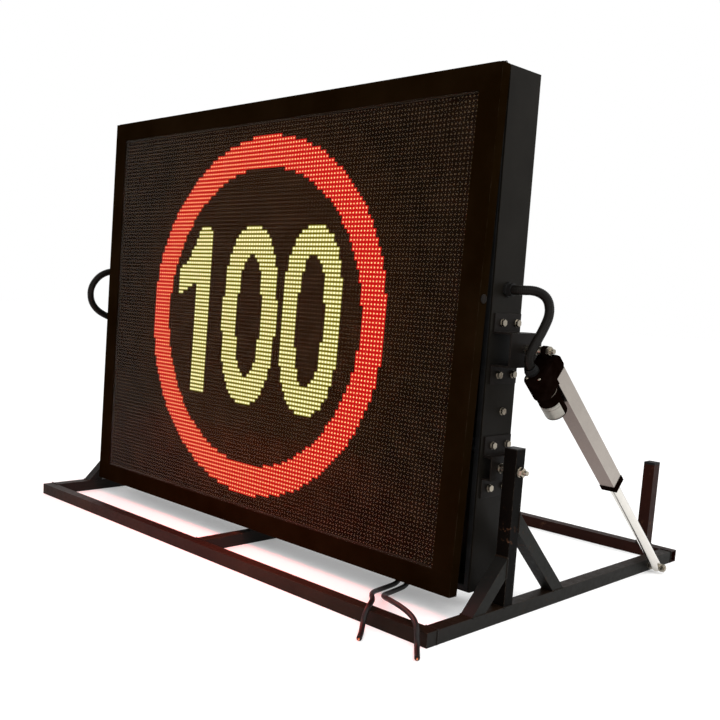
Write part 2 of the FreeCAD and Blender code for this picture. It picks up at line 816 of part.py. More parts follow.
def make_hinge():
    """A full-width hinge on top of the cabinet: two leaves with alternate knuckles and a pin."""
    radius = dim("hinge_radius")
    thickness = dim("hinge_leaf_thickness")
    count = int(dim("hinge_knuckles").number)
    pitch = (dim("cabinet_width") - 20) / count
    knuckle = pitch - 1
    start = -half_cabinet + 10
    length = pitch * count - 1
    leaf_gap = radius + 1
    plates = {
        0: block(length, dim("hinge_leaf_width"), thickness, start, hinge_y + leaf_gap, cabinet_top),
        1: block(length, dim("hinge_leaf_width"), thickness, start,
                 hinge_y - leaf_gap - dim("hinge_leaf_width"), cabinet_top),
    }
    pieces = {0: [plates[0]], 1: [plates[1]]}
    for index in range(count):
        leaf = index % 2
        x = start + index * pitch
        pieces[leaf].append(cylinder(radius, knuckle, x, hinge_y, hinge_z))
        tab_y = hinge_y if leaf == 0 else hinge_y - leaf_gap
        pieces[leaf].append(block(knuckle, leaf_gap, thickness, x, tab_y, cabinet_top))
    names = {0: "hinge_fixed_leaf", 1: "hinge_door_leaf"}
    for leaf, name in names.items():
        hole = cylinder(dim("hinge_pin_radius") + dim("running_clearance"), length + 2, start - 1,
                        hinge_y, hinge_z)
        add_node(name, cut(fuse(pieces[leaf]), [hole]), door_pose if leaf else None)
    pin = cylinder(dim("hinge_pin_radius"), length, start, hinge_y, hinge_z)
    add_node("hinge_pin", pin)


def make_door_frame():
    body = new_body()
    low = dim("cabinet_bottom")
    centre_z = low + dim("cabinet_height") / 2
    wide = dim("led_pitch") * dim("module_columns") * dim("module_pixels_wide")
    tall = dim("led_pitch") * dim("module_rows") * dim("module_pixels_tall")
    half_wide = wide / 2 + dim("window_margin")
    half_tall = tall / 2 + dim("window_margin")

    def frame_at(inset):
        return rectangle(inset - half_cabinet, low + inset, half_cabinet - inset, cabinet_top - inset)

    window = rectangle(-half_wide, centre_z - half_tall, half_wide, centre_z + half_tall)
    ring_pad(body, frame_at(0), frame_at(sheet_metal), door_front, dim("door_depth"))
    ring_pad(body, frame_at(0), window, door_front, sheet_metal)
    ring_pad(body, frame_at(0), frame_at(dim("door_return")), door_back - sheet_metal, sheet_metal)
    drills = []
    wall = half_cabinet - sheet_metal - 2
    lock_y = (door_front + door_back) / 2
    for side in SIDES.values():
        radius = dim("lock_radius") + dim("running_clearance")
        drills.append(cylinder_out(side, radius, 8, wall, lock_y, dim("lock_height")))
    add_node("door_frame", cut(body, drills), door_pose)

    thickness = dim("clear_sheet_thickness")
    overlap = 18
    glazing = block(2 * (half_wide + overlap), thickness, 2 * (half_tall + overlap), -half_wide - overlap,
                    door_front + sheet_metal, centre_z - half_tall - overlap)
    add_node("clear_sheet", glazing, door_pose_at(glazing))

    module_face = door_front + sheet_metal + thickness + dim("module_setback")
    modules = []
    module_wide = dim("led_pitch") * dim("module_pixels_wide")
    module_tall = dim("led_pitch") * dim("module_pixels_tall")
    gap = dim("module_gap")
    for column in range(int(dim("module_columns").number)):
        for line in range(int(dim("module_rows").number)):
            x = -wide / 2 + column * module_wide
            z = centre_z - tall / 2 + line * module_tall
            shell = block(module_wide - gap, dim("module_depth"), module_tall - gap,
                          x + gap / 2, module_face, z + gap / 2)
            socket = block(60, 4, 18, x + module_wide / 2 - 30, module_face + dim("module_depth"),
                           z + module_tall / 2 - 9)
            modules.append(fuse([shell, socket]))
    add_node("led_modules", group(modules), door_pose)

    rails = []
    rail_wide = 16
    rail_ends = 18
    for column in range(int(dim("module_columns").number) + 1):
        x = -wide / 2 + column * module_wide
        if column == 0:
            x = x + rail_wide / 2
        if column == int(dim("module_columns").number):
            x = x - rail_wide / 2
        rails.append(block(rail_wide, 8, dim("cabinet_height") - 2 * rail_ends, x - rail_wide / 2,
                           door_back, low + rail_ends))
    add_node("module_rails", group(rails), door_pose)


def door_pose_at(thing):
    """The door's pose for a single block, which already has a place of its own."""
    doc.recompute()
    place = door_pose.multiply(thing.Placement)
    for axis in "xyz":
        thing.setExpression("Placement.Base." + axis, None)
    return place


def make_locks():
    """A quarter-turn lock in each side of the door, with its cam turned up."""
    lock_y = (door_front + door_back) / 2
    height = dim("lock_height")
    cam_reach = 30
    for name, side in SIDES.items():
        barrel = cylinder_out(side, dim("lock_radius"), 32, half_cabinet - 32, lock_y, height)
        head = cylinder_out(side, 9, 2, half_cabinet + 0.1, lock_y, height)
        stem = cylinder_out(side, dim("lock_radius"), 1, half_cabinet - 0.5, lock_y, height)
        cam = block_out(side, 3, 9, cam_reach, half_cabinet - 32, lock_y - 4.5, height)
        slot = block_out(side, 1.2, 1.6, 11, half_cabinet + 1.1, lock_y - 0.8, height - 5.5)
        add_node("side_lock_" + name, cut(fuse([barrel, head, stem, cam]), [slot]), door_pose)


# ---------------------------------------------------------------- gas struts

def turned(y, z, centre_y, centre_z, degrees):
    """A point turned clockwise about a line along X, as the door and the sign turn."""
    angle = math.radians(degrees)
    dy = y - centre_y
    dz = z - centre_z
    return (centre_y + dy * math.cos(angle) + dz * math.sin(angle),
            centre_z - dy * math.sin(angle) + dz * math.cos(angle))


def make_struts():
    """Two gas struts, each drawn upright from its lower eye and then leaned to meet the door."""
    low_y = front + dim("strut_low_setback")
    low_z = dim("strut_low_height")
    high_y, high_z = turned(front.number + dim("strut_high_setback").number, dim("strut_high_height").number,
                            hinge_y.number, hinge_z.number, dim("door_ajar_angle").number)
    dy = high_y - low_y.number
    dz = high_z - low_z.number
    length = math.hypot(dy, dz)
    lean = math.degrees(math.atan2(-dy, dz))
    eye_width = 6
    eye_radius = 8
    inside = 135
    tube_end = dim("strut_tube_length")
    anchors = []
    studs = []
    for name, side in SIDES.items():
        place = Placement(Vector(side * dim("strut_x").number, low_y.number, low_z.number),
                          Rotation(Vector(1, 0, 0), lean))
        eye = cylinder(eye_radius, eye_width, -eye_width / 2, 0, 0)
        barrel = cylinder(dim("strut_tube_radius"), tube_end - eye_radius + 1, 0, 0, eye_radius - 1, axis="z")
        hole = cylinder(4 + dim("running_clearance"), 20, -10, 0, 0)
        chamber = cylinder(dim("strut_tube_radius") - 1, tube_end - 20, 0, 0, 18, axis="z")
        mouth = cylinder(dim("strut_rod_radius") + dim("running_clearance"), 10, 0, 0, tube_end - 5, axis="z")
        add_node("strut_tube_" + name, cut(fuse([eye, barrel]), [hole, chamber, mouth]), place)
        exposed = length - tube_end.number
        rod = cylinder(dim("strut_rod_radius"), inside + exposed - 6, 0, 0, tube_end - inside, axis="z")
        piston = cylinder(dim("strut_tube_radius") - 1.2, 6, 0, 0, tube_end - inside, axis="z")
        top_eye = cylinder(7, eye_width, -eye_width / 2, 0, length)
        add_node("strut_rod_" + name, fuse([rod, piston, top_eye]), place)
        anchor_start = dim("strut_x") - eye_width / 2 - 4
        anchors.append(cylinder_out(side, 4, half_cabinet - sheet_metal - anchor_start, anchor_start,
                                    low_y, low_z))
        stud_start = dim("strut_x") + eye_width / 2 + 0.5
        studs.append(cylinder_out(side, 4, half_cabinet - sheet_metal - stud_start, stud_start,
                                  front + dim("strut_high_setback"), dim("strut_high_height")))
    add_node("strut_anchors", group(anchors))
    add_node("strut_studs", group(studs), door_pose)


# ---------------------------------------------------------------- linear actuators

LUG_HALF_WIDTH = 5
LUG_RADIUS = 10.5
ROD_EYE_HALF_WIDTH = 11


def actuator_reach():
    """Distance along the rod from the arm pin's level to the rail pin, and the lean from upright."""
    dy = dim("rail_pin_setback").number - dim("arm_pin_setback").number
    dz = dim("rail_pin_height").number - dim("arm_pin_height").number
    offset = dim("actuator_offset").number
    reach = math.sqrt(dy * dy + dz * dz - offset * offset)
    lean = math.degrees(math.atan2(dz, dy) - math.atan2(-reach, -offset))
    return reach, lean % 360


def edges_where(feature, test):
    """Names of a feature's edges whose bounding boxes pass a test."""
    edges = enumerate(feature.Shape.Edges, start=1)
    return ["Edge%d" % index for index, edge in edges if test(edge.BoundBox)]


def round_edges(body, base, names, radius):
    rounding = body.newObject("PartDesign::Fillet", "Rounding")
    rounding.Base = (base, names)
    bind(rounding, "Radius", radius)
    doc.recompute()
    return rounding


def make_gearbox(place, name):
    """The gear housing: a round nose over the motor, a skirt round the tube and a lug for the arm's bolt."""
    body = new_body()
    half_wide = dim("gearbox_half_width")
    front_y = -(dim("motor_offset") + dim("motor_radius") + 3)
    step_y = dim("motor_radius") - dim("motor_offset") + 0.5
    top = -dim("gearbox_top")
    bottom = -dim("gearbox_length")
    tube_start = -dim("tube_start")
    skirt = tube_start - dim("tube_skirt")
    axis_y = -dim("actuator_offset")
    back = dim("actuator_tube") / 2 + axis_y + 0.5
    corners = [
        (front_y, bottom), (front_y, top), (back - 6.5, top), (back, top - 11), (back, tube_start),
        (back - 6, skirt), (step_y, skirt), (step_y, bottom),
    ]
    sketch = attach(body, "YZ_Plane")
    draw_polygon(sketch, corners)
    block_pad = pad(body, sketch, 2 * half_wide, symmetric=True)
    doc.recompute()
    nose = edges_where(block_pad, lambda box: box.XLength < 0.01 and box.YLength < 0.01
                       and abs(box.YMin - front_y.number) < 0.1)
    rounded = round_edges(body, block_pad, nose, dim("gearbox_nose_radius"))
    outline = edges_where(rounded, lambda box: box.XLength < 0.01
                          and abs(abs(box.XMin) - half_wide.number) < 0.1 and box.YMax > step_y.number)
    round_edges(body, rounded, outline, 2)
    lug = attach(body, "YZ_Plane")
    side_y = LUG_RADIUS - 0.3
    draw_polygon(lug, [(-side_y - 3, top - 2), (back - 6, top - 2), (side_y, -2.5), (side_y, 0),
                       (-side_y, 0), (-side_y, -2.5)])
    pad(body, lug, 2 * LUG_HALF_WIDTH, symmetric=True)
    eye = cylinder(LUG_RADIUS, 2 * LUG_HALF_WIDTH, -LUG_HALF_WIDTH, 0, 0)
    hole = cylinder(bore, 60, -30, 0, 0)
    size = dim("actuator_tube")
    socket = block(size, size, 40, -size / 2, axis_y - size / 2, tube_start - 40)
    add_node("gear_housing_" + name, cut(fuse([body, eye]), [hole, socket]), place)


def make_actuator(name, side, reach, lean):
    """One actuator, drawn hanging straight down from its top pin and then leaned back."""
    place = Placement(Vector(side * dim("actuator_x").number, front.number + dim("arm_pin_setback").number,
                             dim("arm_pin_height").number), Rotation(Vector(1, 0, 0), lean))
    make_gearbox(place, name)
    axis_y = -dim("actuator_offset")
    top = -dim("gearbox_length")
    body_end = -dim("actuator_body")
    cap = dim("end_cap_length")

    motor_y = -dim("motor_offset")
    motor_end = top - dim("motor_length")
    can = cylinder(dim("motor_radius"), dim("motor_length") - 3, 0, motor_y, motor_end + 3, axis="z")
    rim = cylinder(dim("motor_radius") - 3, 4, 0, motor_y, motor_end, axis="z")
    add_node("motor_" + name, fuse([can, rim]), place)

    size = dim("actuator_tube")
    inner = size - 2 * dim("actuator_tube_wall")
    length = dim("actuator_body") - dim("tube_start") - cap
    outer = block(size, size, length, -size / 2, axis_y - size / 2, body_end + cap)
    hollow = block(inner, inner, length + 2, -inner / 2, axis_y - inner / 2, body_end + cap - 1)
    add_node("actuator_tube_" + name, cut(outer, [hollow]), place)

    rod_radius = dim("actuator_rod_radius")
    plate = block(size + 2, size + 2, cap, -size / 2 - 1, axis_y - size / 2 - 1, body_end)
    hole = cylinder(rod_radius + dim("running_clearance"), cap + 2, 0, axis_y, body_end - 1, axis="z")
    add_node("tube_end_cap_" + name, cut(plate, [hole]), place)

    screw_length = dim("actuator_body") - dim("tube_start") - dim("screw_end_gap")
    add_node("lead_screw_" + name, lead_screw(screw_length, axis_y, -dim("tube_start")), place)

    rod_top = body_end + dim("actuator_rod_inside")
    rod_length = reach + rod_top.number
    shaft = cylinder(rod_radius, rod_length, 0, axis_y, -reach, axis="z")
    guide = cylinder(rod_radius + 3, 12, 0, axis_y, rod_top - 12, axis="z")
    knob = doc.addObject("Part::Sphere", "Knob")
    bind(knob, "Radius", rod_radius)
    locate(knob, 0, axis_y, -reach)
    drill = cylinder(dim("screw_radius") + 0.5, rod_length - 40, 0, axis_y, -reach + 41, axis="z")
    cross_hole = cylinder(bore, 60, -30, axis_y, -reach)
    flats = [block(4, 60, 70, start, axis_y - 30, -reach - 35)
             for start in (ROD_EYE_HALF_WIDTH, -ROD_EYE_HALF_WIDTH - 4)]
    add_node("actuator_rod_" + name, cut(fuse([shaft, guide, knob]), [drill, cross_hole] + flats), place)

    pin = cylinder_out(side, bolt, 36, -12.5, axis_y, -reach) if side > 0 else \
        cylinder(bolt, 36, -23.5, axis_y, -reach)
    washers = [disc_out(side, 10, 1.2, -12.4, axis_y, -reach), disc_out(side, 10, 1.6, 11.2, axis_y, -reach)]
    nut_x = 12.8 if side > 0 else -20.8
    nut = doc.addObject("Part::Prism", "Nut")
    nut.Polygon = 6
    nut.Circumradius = 17 / math.sqrt(3)
    nut.Height = 8
    nut.Placement = Placement(Vector(), AXIS_TURNS["x"])
    locate(nut, nut_x, axis_y, -reach)
    add_node("rod_pin_" + name, fuse([pin, nut] + washers), place)


def lead_screw(length, axis_y, top):
    """The screw inside the tube, with the thrust collar at its upper end."""
    shank = cylinder(dim("screw_radius"), length, 0, axis_y, top - length, axis="z")
    collar = cylinder(dim("screw_radius") + 3, 6, 0, axis_y, top - 6, axis="z")
    return fuse([shank, collar])


def disc_out(side, radius, thickness, inner_x, y, z):
    """A disc measured outwards from the actuator's own middle plane."""
    start = inner_x if side > 0 else -inner_x - thickness
    return cylinder(radius, thickness, start, y, z)


# ---------------------------------------------------------------- build and check

def make_everything():
    make_base()
    make_cabinet_shell()
    make_rear_panel()
    make_door_seal()
    make_brackets()
    make_sign_fasteners()
    make_equipment()
    make_glands()
    make_cables()
    make_hinge()
    make_door_frame()
    make_locks()
    make_struts()
    reach, lean = actuator_reach()
    for name, side in SIDES.items():
        make_actuator(name, side, reach, lean)
    print("actuator reach %.3f mm, lean %.3f degrees" % (reach, lean))


def check_and_export():
    doc.recompute()
    broken = [thing.Name for thing in doc.Objects if "Invalid" in thing.State or "Error" in thing.State]
    if broken:
        raise RuntimeError("objects failed: " + ", ".join(broken))
    os.makedirs("parts", exist_ok=True)
    for name, thing in nodes.items():
        shape = thing.Shape
        if shape.isNull() or not shape.isValid() or not shape.Solids:
            raise RuntimeError("bad shape: " + name)
    for name, thing in nodes.items():
        thing.Shape.exportStep("parts/%s.step" % name)
    print("%d sub-parts, %d solids" % (len(nodes), sum(len(thing.Shape.Solids) for thing in nodes.values())))


make_everything()
check_and_export()
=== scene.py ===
import bpy
import json
import math
import numpy as np
from mathutils import Matrix, Vector


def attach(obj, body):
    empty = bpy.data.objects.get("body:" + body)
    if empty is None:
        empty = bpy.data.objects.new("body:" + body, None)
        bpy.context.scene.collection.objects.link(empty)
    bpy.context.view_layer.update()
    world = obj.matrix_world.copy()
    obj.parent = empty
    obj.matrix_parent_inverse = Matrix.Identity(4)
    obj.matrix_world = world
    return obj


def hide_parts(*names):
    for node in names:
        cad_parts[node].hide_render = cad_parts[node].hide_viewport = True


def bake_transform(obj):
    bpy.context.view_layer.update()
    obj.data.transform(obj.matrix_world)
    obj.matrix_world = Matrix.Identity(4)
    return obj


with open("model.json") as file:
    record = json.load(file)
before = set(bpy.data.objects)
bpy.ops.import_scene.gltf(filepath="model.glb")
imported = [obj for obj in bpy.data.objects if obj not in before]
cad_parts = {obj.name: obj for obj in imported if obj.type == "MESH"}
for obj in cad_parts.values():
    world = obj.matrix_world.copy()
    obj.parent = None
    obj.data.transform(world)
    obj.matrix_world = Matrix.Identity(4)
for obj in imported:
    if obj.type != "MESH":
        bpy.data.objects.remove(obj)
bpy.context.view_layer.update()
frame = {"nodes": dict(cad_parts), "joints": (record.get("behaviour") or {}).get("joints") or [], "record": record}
scene = bpy.context.scene
MM = 0.001
SIDES = {"left": -1, "right": 1}
BACK = 512.5
ACTUATOR_LEAN = math.radians(48.0695)


# ---------------------------------------------------------------- camera and light

camera_data = bpy.data.cameras.new("camera")
camera = bpy.data.objects.new("camera", camera_data)
scene.collection.objects.link(camera)
camera_data.lens = 45.95
camera_data.sensor_width = 36.0
camera_data.shift_x = 0.0361
camera_data.shift_y = 0.1004
camera_data.clip_start = 0.05
camera_data.clip_end = 60
turn = Matrix.Rotation(0.7911, 3, "Z") @ Matrix.Rotation(-0.1502, 3, "X") @ Matrix.Rotation(-0.0563, 3, "Y")
facing = turn @ Matrix.Rotation(math.radians(90), 3, "X")
camera.matrix_world = Matrix.Translation((1.8036, -1.8177, 0.6538)) @ facing.to_4x4()
scene.camera = camera

scene.view_settings.view_transform = "Standard"
scene.view_settings.look = "None"


def area_light(name, place, aim, size, power, colour=(1, 1, 1)):
    data = bpy.data.lights.new(name, "AREA")
    data.shape = "RECTANGLE"
    data.size = size[0]
    data.size_y = size[1]
    data.energy = power
    data.color = colour
    lamp = bpy.data.objects.new(name, data)
    scene.collection.objects.link(lamp)
    direction = Vector(aim) - Vector(place)
    lamp.matrix_world = Matrix.Translation(place) @ direction.to_track_quat("-Z", "Y").to_matrix().to_4x4()
    lamp.visible_camera = False
    return lamp


area_light("key_light", (2.6, -2.2, 3.0), (0, 0, 0.4), (2.2, 2.2), 60)
area_light("fill_light", (-3.4, -1.0, 3.2), (0, 0, 0.5), (2.0, 2.0), 20)
area_light("side_light", (3.2, 1.2, 2.6), (0.7, 0, 0.7), (1.6, 1.6), 45)
area_light("sign_glow", (0, -0.56, 0.50), (0, -1.0, 0.02), (0.9, 0.5), 13, (1.0, 0.07, 0.05))

world = bpy.data.worlds.new("studio")
scene.world = world
world.use_nodes = True
world.node_tree.nodes["Background"].inputs["Color"].default_value = (1, 1, 1, 1)
world.node_tree.nodes["Background"].inputs["Strength"].default_value = 1.0


# ---------------------------------------------------------------- materials

def linear(red, green, blue):
    """A display colour, 0 to 255, as the linear colour that a shader takes."""
    channels = []
    for value in (red, green, blue):
        share = value / 255
        channels.append(share / 12.92 if share <= 0.04045 else ((share + 0.055) / 1.055) ** 2.4)
    return (*channels, 1)


class Shader:
    """A material's node tree with short ways to add what these materials share."""

    def __init__(self, name):
        self.material = bpy.data.materials.new(name)
        self.material.use_nodes = True
        self.tree = self.material.node_tree
        self.surface = self.tree.nodes["Principled BSDF"]
        self.output = self.tree.nodes["Material Output"]
        self.coordinates = self.node("ShaderNodeTexCoord").outputs["Object"]

    def node(self, kind, **settings):
        made = self.tree.nodes.new(kind)
        for key, value in settings.items():
            setattr(made, key, value)
        return made

    def link(self, source, target):
        if isinstance(source, (int, float, tuple)):
            target.default_value = source
        else:
            self.tree.links.new(source, target)

    def noise(self, scale, detail=3.0, roughness=0.5, stretch=None, vector=None):
        """A noise value in object space; stretch is a (turn, scale) pair for drawn or brushed metal."""
        source = vector or self.coordinates
        if stretch:
            mapping = self.node("ShaderNodeMapping", vector_type="TEXTURE")
            self.link(source, mapping.inputs["Vector"])
            mapping.inputs["Rotation"].default_value = stretch[0]
            mapping.inputs["Scale"].default_value = stretch[1]
            source = mapping.outputs["Vector"]
        made = self.node("ShaderNodeTexNoise")
        self.link(source, made.inputs["Vector"])
        made.inputs["Scale"].default_value = scale
        made.inputs["Detail"].default_value = detail
        made.inputs["Roughness"].default_value = roughness
        return made.outputs["Fac"]

    def math(self, operation, first, second=0.0, third=0.0):
        made = self.node("ShaderNodeMath", operation=operation)
        for source, target in zip((first, second, third), made.inputs):
            self.link(source, target)
        return made.outputs[0]

    def ramp(self, value, low, high, first=0.0, last=1.0):
        made = self.node("ShaderNodeMapRange")
        made.clamp = True
        sockets = ("Value", "From Min", "From Max", "To Min", "To Max")
        for source, target in zip((value, low, high, first, last), sockets):
            self.link(source, made.inputs[target])
        return made.outputs["Result"]

    def mix(self, factor, first, second):
        made = self.node("ShaderNodeMix", data_type="RGBA")
        self.link(factor, made.inputs["Factor"])
        self.link(first, made.inputs[6])
        self.link(second, made.inputs[7])
        return made.outputs[2]

    def rounded(self, radius):
        made = self.node("ShaderNodeBevel", samples=4)
        made.inputs["Radius"].default_value = radius
        return made.outputs["Normal"]

    def edges(self, radius):
        """About 1 on sharp edges within a radius, and 0 on flat faces."""
        geometry = self.node("ShaderNodeNewGeometry")
        made = self.node("ShaderNodeVectorMath", operation="DOT_PRODUCT")
        self.link(self.rounded(radius), made.inputs[0])
        self.link(geometry.outputs["Normal"], made.inputs[1])
        return self.ramp(made.outputs["Value"], 0.985, 0.8)

    def bump(self, height, distance, strength=1.0, normal=None):
        made = self.node("ShaderNodeBump")
        made.inputs["Strength"].default_value = strength
        made.inputs["Distance"].default_value = distance
        self.link(height, made.inputs["Height"])
        if normal is not None:
            self.link(normal, made.inputs["Normal"])
        self.link(made.outputs["Normal"], self.surface.inputs["Normal"])

    def turned(self, axis, low, high):
        """From 0 to 1 as the unposed face turns along an axis: 0 for X, 1 for Y, 2 for Z."""
        split = self.node("ShaderNodeSeparateXYZ")
        self.link(self.node("ShaderNodeTexCoord").outputs["Normal"], split.inputs["Vector"])
        return self.ramp(split.outputs[axis], low, high)

    def finish(self, colour, roughness, metallic=0.0, specular=0.5):
        self.link(colour, self.surface.inputs["Base Color"])
        self.link(roughness, self.surface.inputs["Roughness"])
        self.surface.inputs["Metallic"].default_value = metallic
        self.surface.inputs["Specular IOR Level"].default_value = specular
        return self.material


def powder_coat(name, colour, worn, wear=0.3, specular=0.05, gloss=0.4, radius=0.0012):
    """Satin powder coat: fine orange peel, soft patches of dust and rubbed edges."""
    shade = Shader(name)
    patches = shade.noise(7, 4, 0.6)
    dust = shade.noise(38, 5, 0.65)
    lighter = tuple(min(1, value * 1.6 + 0.001) for value in colour[:3]) + (1,)
    tone = shade.mix(shade.ramp(patches, 0.35, 0.75), colour, lighter)
    scratched = shade.math("MULTIPLY", shade.edges(radius), shade.ramp(dust, 0.45, 0.62, 0, wear))
    tone = shade.mix(scratched, tone, worn)
    rough = shade.ramp(shade.noise(16, 4, 0.6), 0.3, 0.7, gloss - 0.07, gloss + 0.1)
    shade.bump(shade.noise(1400, 2), 0.00012, 0.35, shade.rounded(radius))
    return shade.finish(tone, rough, specular=specular)


def welded_frame_paint(name, base, patch, side, specular=0.05):
    """Frame paint that is worn through to rust and bare steel in places; the side colour is painted light, a
    cooler tint on faces that look along +X, such as end faces.
    """
    shade = Shader(name)
    patches = shade.noise(5, 4, 0.6)
    tone = shade.mix(shade.ramp(patches, 0.4, 0.7), base, patch)
    # Painted light: faces that look along +X take the cooler side colour.
    tone = shade.mix(shade.turned(0, 0.4, 0.6), tone, side)
    fine = shade.noise(90, 6, 0.7)
    blotch = shade.noise(9, 3, 0.5)
    rust = shade.math("MULTIPLY", shade.ramp(fine, 0.56, 0.66), shade.ramp(blotch, 0.58, 0.68))
    tone = shade.mix(shade.math("MULTIPLY", rust, 0.55), tone, linear(92, 62, 44))
    rubbed = shade.math("MULTIPLY", shade.edges(0.0016), shade.ramp(fine, 0.46, 0.6, 0, 0.6))
    tone = shade.mix(rubbed, tone, linear(96, 84, 72))
    rough = shade.ramp(fine, 0.3, 0.7, 0.36, 0.6)
    shade.bump(shade.noise(700, 3), 0.0002, 0.4, shade.rounded(0.0016))
    return shade.finish(tone, rough, specular=specular)


def metal(name, colour, roughness, stretch=None, grain=260, radius=0.0008, dirt=0.25, painted_shade=None):
    """Bare or plated metal with fine grain, stains and dark patches, and an optional darker colour painted as
    shade on faces that look down.
    """
    shade = Shader(name)
    streak = shade.noise(grain, 4, 0.6, stretch)
    stain = shade.noise(22, 5, 0.6)
    darker = tuple(value * 0.55 for value in colour[:3]) + (1,)
    # Painted shade: faces that look down take the darker colour.
    if painted_shade:
        colour = shade.mix(shade.turned(2, -0.3, -0.5), colour, painted_shade)
    tone = shade.mix(shade.ramp(stain, 0.45, 0.75, 0, dirt), colour, darker)
    tone = shade.mix(shade.ramp(streak, 0.3, 0.7, 0, 0.25), tone, darker)
    rough = shade.ramp(streak, 0.3, 0.7, roughness - 0.06, roughness + 0.12)
    shade.bump(streak, 0.00005, 0.5, shade.rounded(radius))
    return shade.finish(tone, rough, metallic=1.0)


# Centre of the lit ring, and the spread over which its painted glow fades, in metres.
RING_X = -0.005
RING_Z = 0.577
PAINTED_GLOW_WITHIN = 0.40
PAINTED_GLOW_BEYOND = 0.56


def painted_ring_glow(shade, colour, strength):
    """Painted glow: a faint emission inside the lit ring on faces that look forward, fading outside it, standing
    in for the ring's light falling on them.
    """
    split = shade.node("ShaderNodeSeparateXYZ")
    shade.link(shade.coordinates, split.inputs["Vector"])
    across = shade.math("SUBTRACT", split.outputs["X"], RING_X)
    up = shade.math("SUBTRACT", split.outputs["Z"], RING_Z)
    spread = shade.math("SQRT", shade.math("ADD", shade.math("MULTIPLY", across, across),
                                           shade.math("MULTIPLY", up, up)))
    shade.link(colour, shade.surface.inputs["Emission Color"])
    inside = shade.ramp(spread, PAINTED_GLOW_WITHIN, PAINTED_GLOW_BEYOND, strength, 0)
    painted_glow = shade.math("MULTIPLY", inside, shade.turned(1, -0.3, -0.7))
    shade.link(painted_glow, shade.surface.inputs["Emission Strength"])


def plastic(name, colour, roughness, specular=0.3, grain=900, depth=0.00008, radius=0.0008, painted_glow=0):
    """Moulded or cast plastic and rubber with a fine grained skin."""
    shade = Shader(name)
    # Painted glow: emission standing in for the lit ring's light falling on this plastic.
    if painted_glow:
        painted_ring_glow(shade, (1.0, 0.26, 0.02, 1), painted_glow)
    cloud = shade.noise(24, 4, 0.6)
    lighter = tuple(min(1, value * 1.8 + 0.002) for value in colour[:3]) + (1,)
    tone = shade.mix(shade.ramp(cloud, 0.4, 0.75), colour, lighter)
    rough = shade.ramp(shade.noise(60, 3), 0.3, 0.7, roughness - 0.06, roughness + 0.1)
    shade.bump(shade.noise(grain, 2), depth, 0.5, shade.rounded(radius))
    return shade.finish(tone, rough, specular=specular)


def glow(name, colour, strength):
    """A lit surface with a little variation from lamp to lamp."""
    shade = Shader(name)
    shade.finish((0.02, 0.02, 0.02, 1), 0.4, specular=0.0)
    vary = shade.ramp(shade.noise(140, 2), 0.3, 0.7, 0.85, 1.15)
    shade.link(colour, shade.surface.inputs["Emission Color"])
    shade.link(shade.math("MULTIPLY", vary, strength), shade.surface.inputs["Emission Strength"])
    return shade.material


def banded_glow(name, row_colour, gap_colour, strength, low, high, dots):
    """A lit field: bright along each row of lamps and dimmer between rows. U and V count lamps."""
    shade = Shader(name)
    shade.finish((0.01, 0.01, 0.01, 1), 0.5, specular=0.0)
    uv = shade.node("ShaderNodeUVMap")
    split = shade.node("ShaderNodeSeparateXYZ")
    shade.link(uv.outputs["UV"], split.inputs["Vector"])
    across = shade.math("ABSOLUTE", shade.math("SUBTRACT", shade.math("FRACT", split.outputs["X"]), 0.5))
    down = shade.math("ABSOLUTE", shade.math("SUBTRACT", shade.math("FRACT", split.outputs["Y"]), 0.5))
    spread = shade.math("ADD", down, shade.math("MULTIPLY", across, dots))
    band = shade.ramp(spread, low, high, 1, 0)
    shade.link(shade.mix(band, gap_colour, row_colour), shade.surface.inputs["Emission Color"])
    shade.surface.inputs["Emission Strength"].default_value = strength
    return shade.material


def clear_pane(name):
    """Clear glossy sheet: see-through, with a weak reflection."""
    shade = Shader(name)
    tree = shade.tree
    clear = shade.node("ShaderNodeBsdfTransparent")
    clear.inputs["Color"].default_value = (0.93, 0.92, 0.90, 1)
    gloss = shade.node("ShaderNodeBsdfGlossy")
    shade.link(shade.ramp(shade.noise(9, 3), 0.3, 0.7, 0.02, 0.06), gloss.inputs["Roughness"])
    fresnel = shade.node("ShaderNodeFresnel")
    fresnel.inputs["IOR"].default_value = 1.10
    outside = shade.math("SUBTRACT", 1.0, shade.node("ShaderNodeNewGeometry").outputs["Backfacing"])
    blend = shade.node("ShaderNodeMixShader")
    shade.link(shade.math("MULTIPLY", fresnel.outputs[0], outside), blend.inputs[0])
    tree.links.new(clear.outputs[0], blend.inputs[1])
    tree.links.new(gloss.outputs[0], blend.inputs[2])
    tree.links.new(blend.outputs[0], shade.output.inputs["Surface"])
    return shade.material


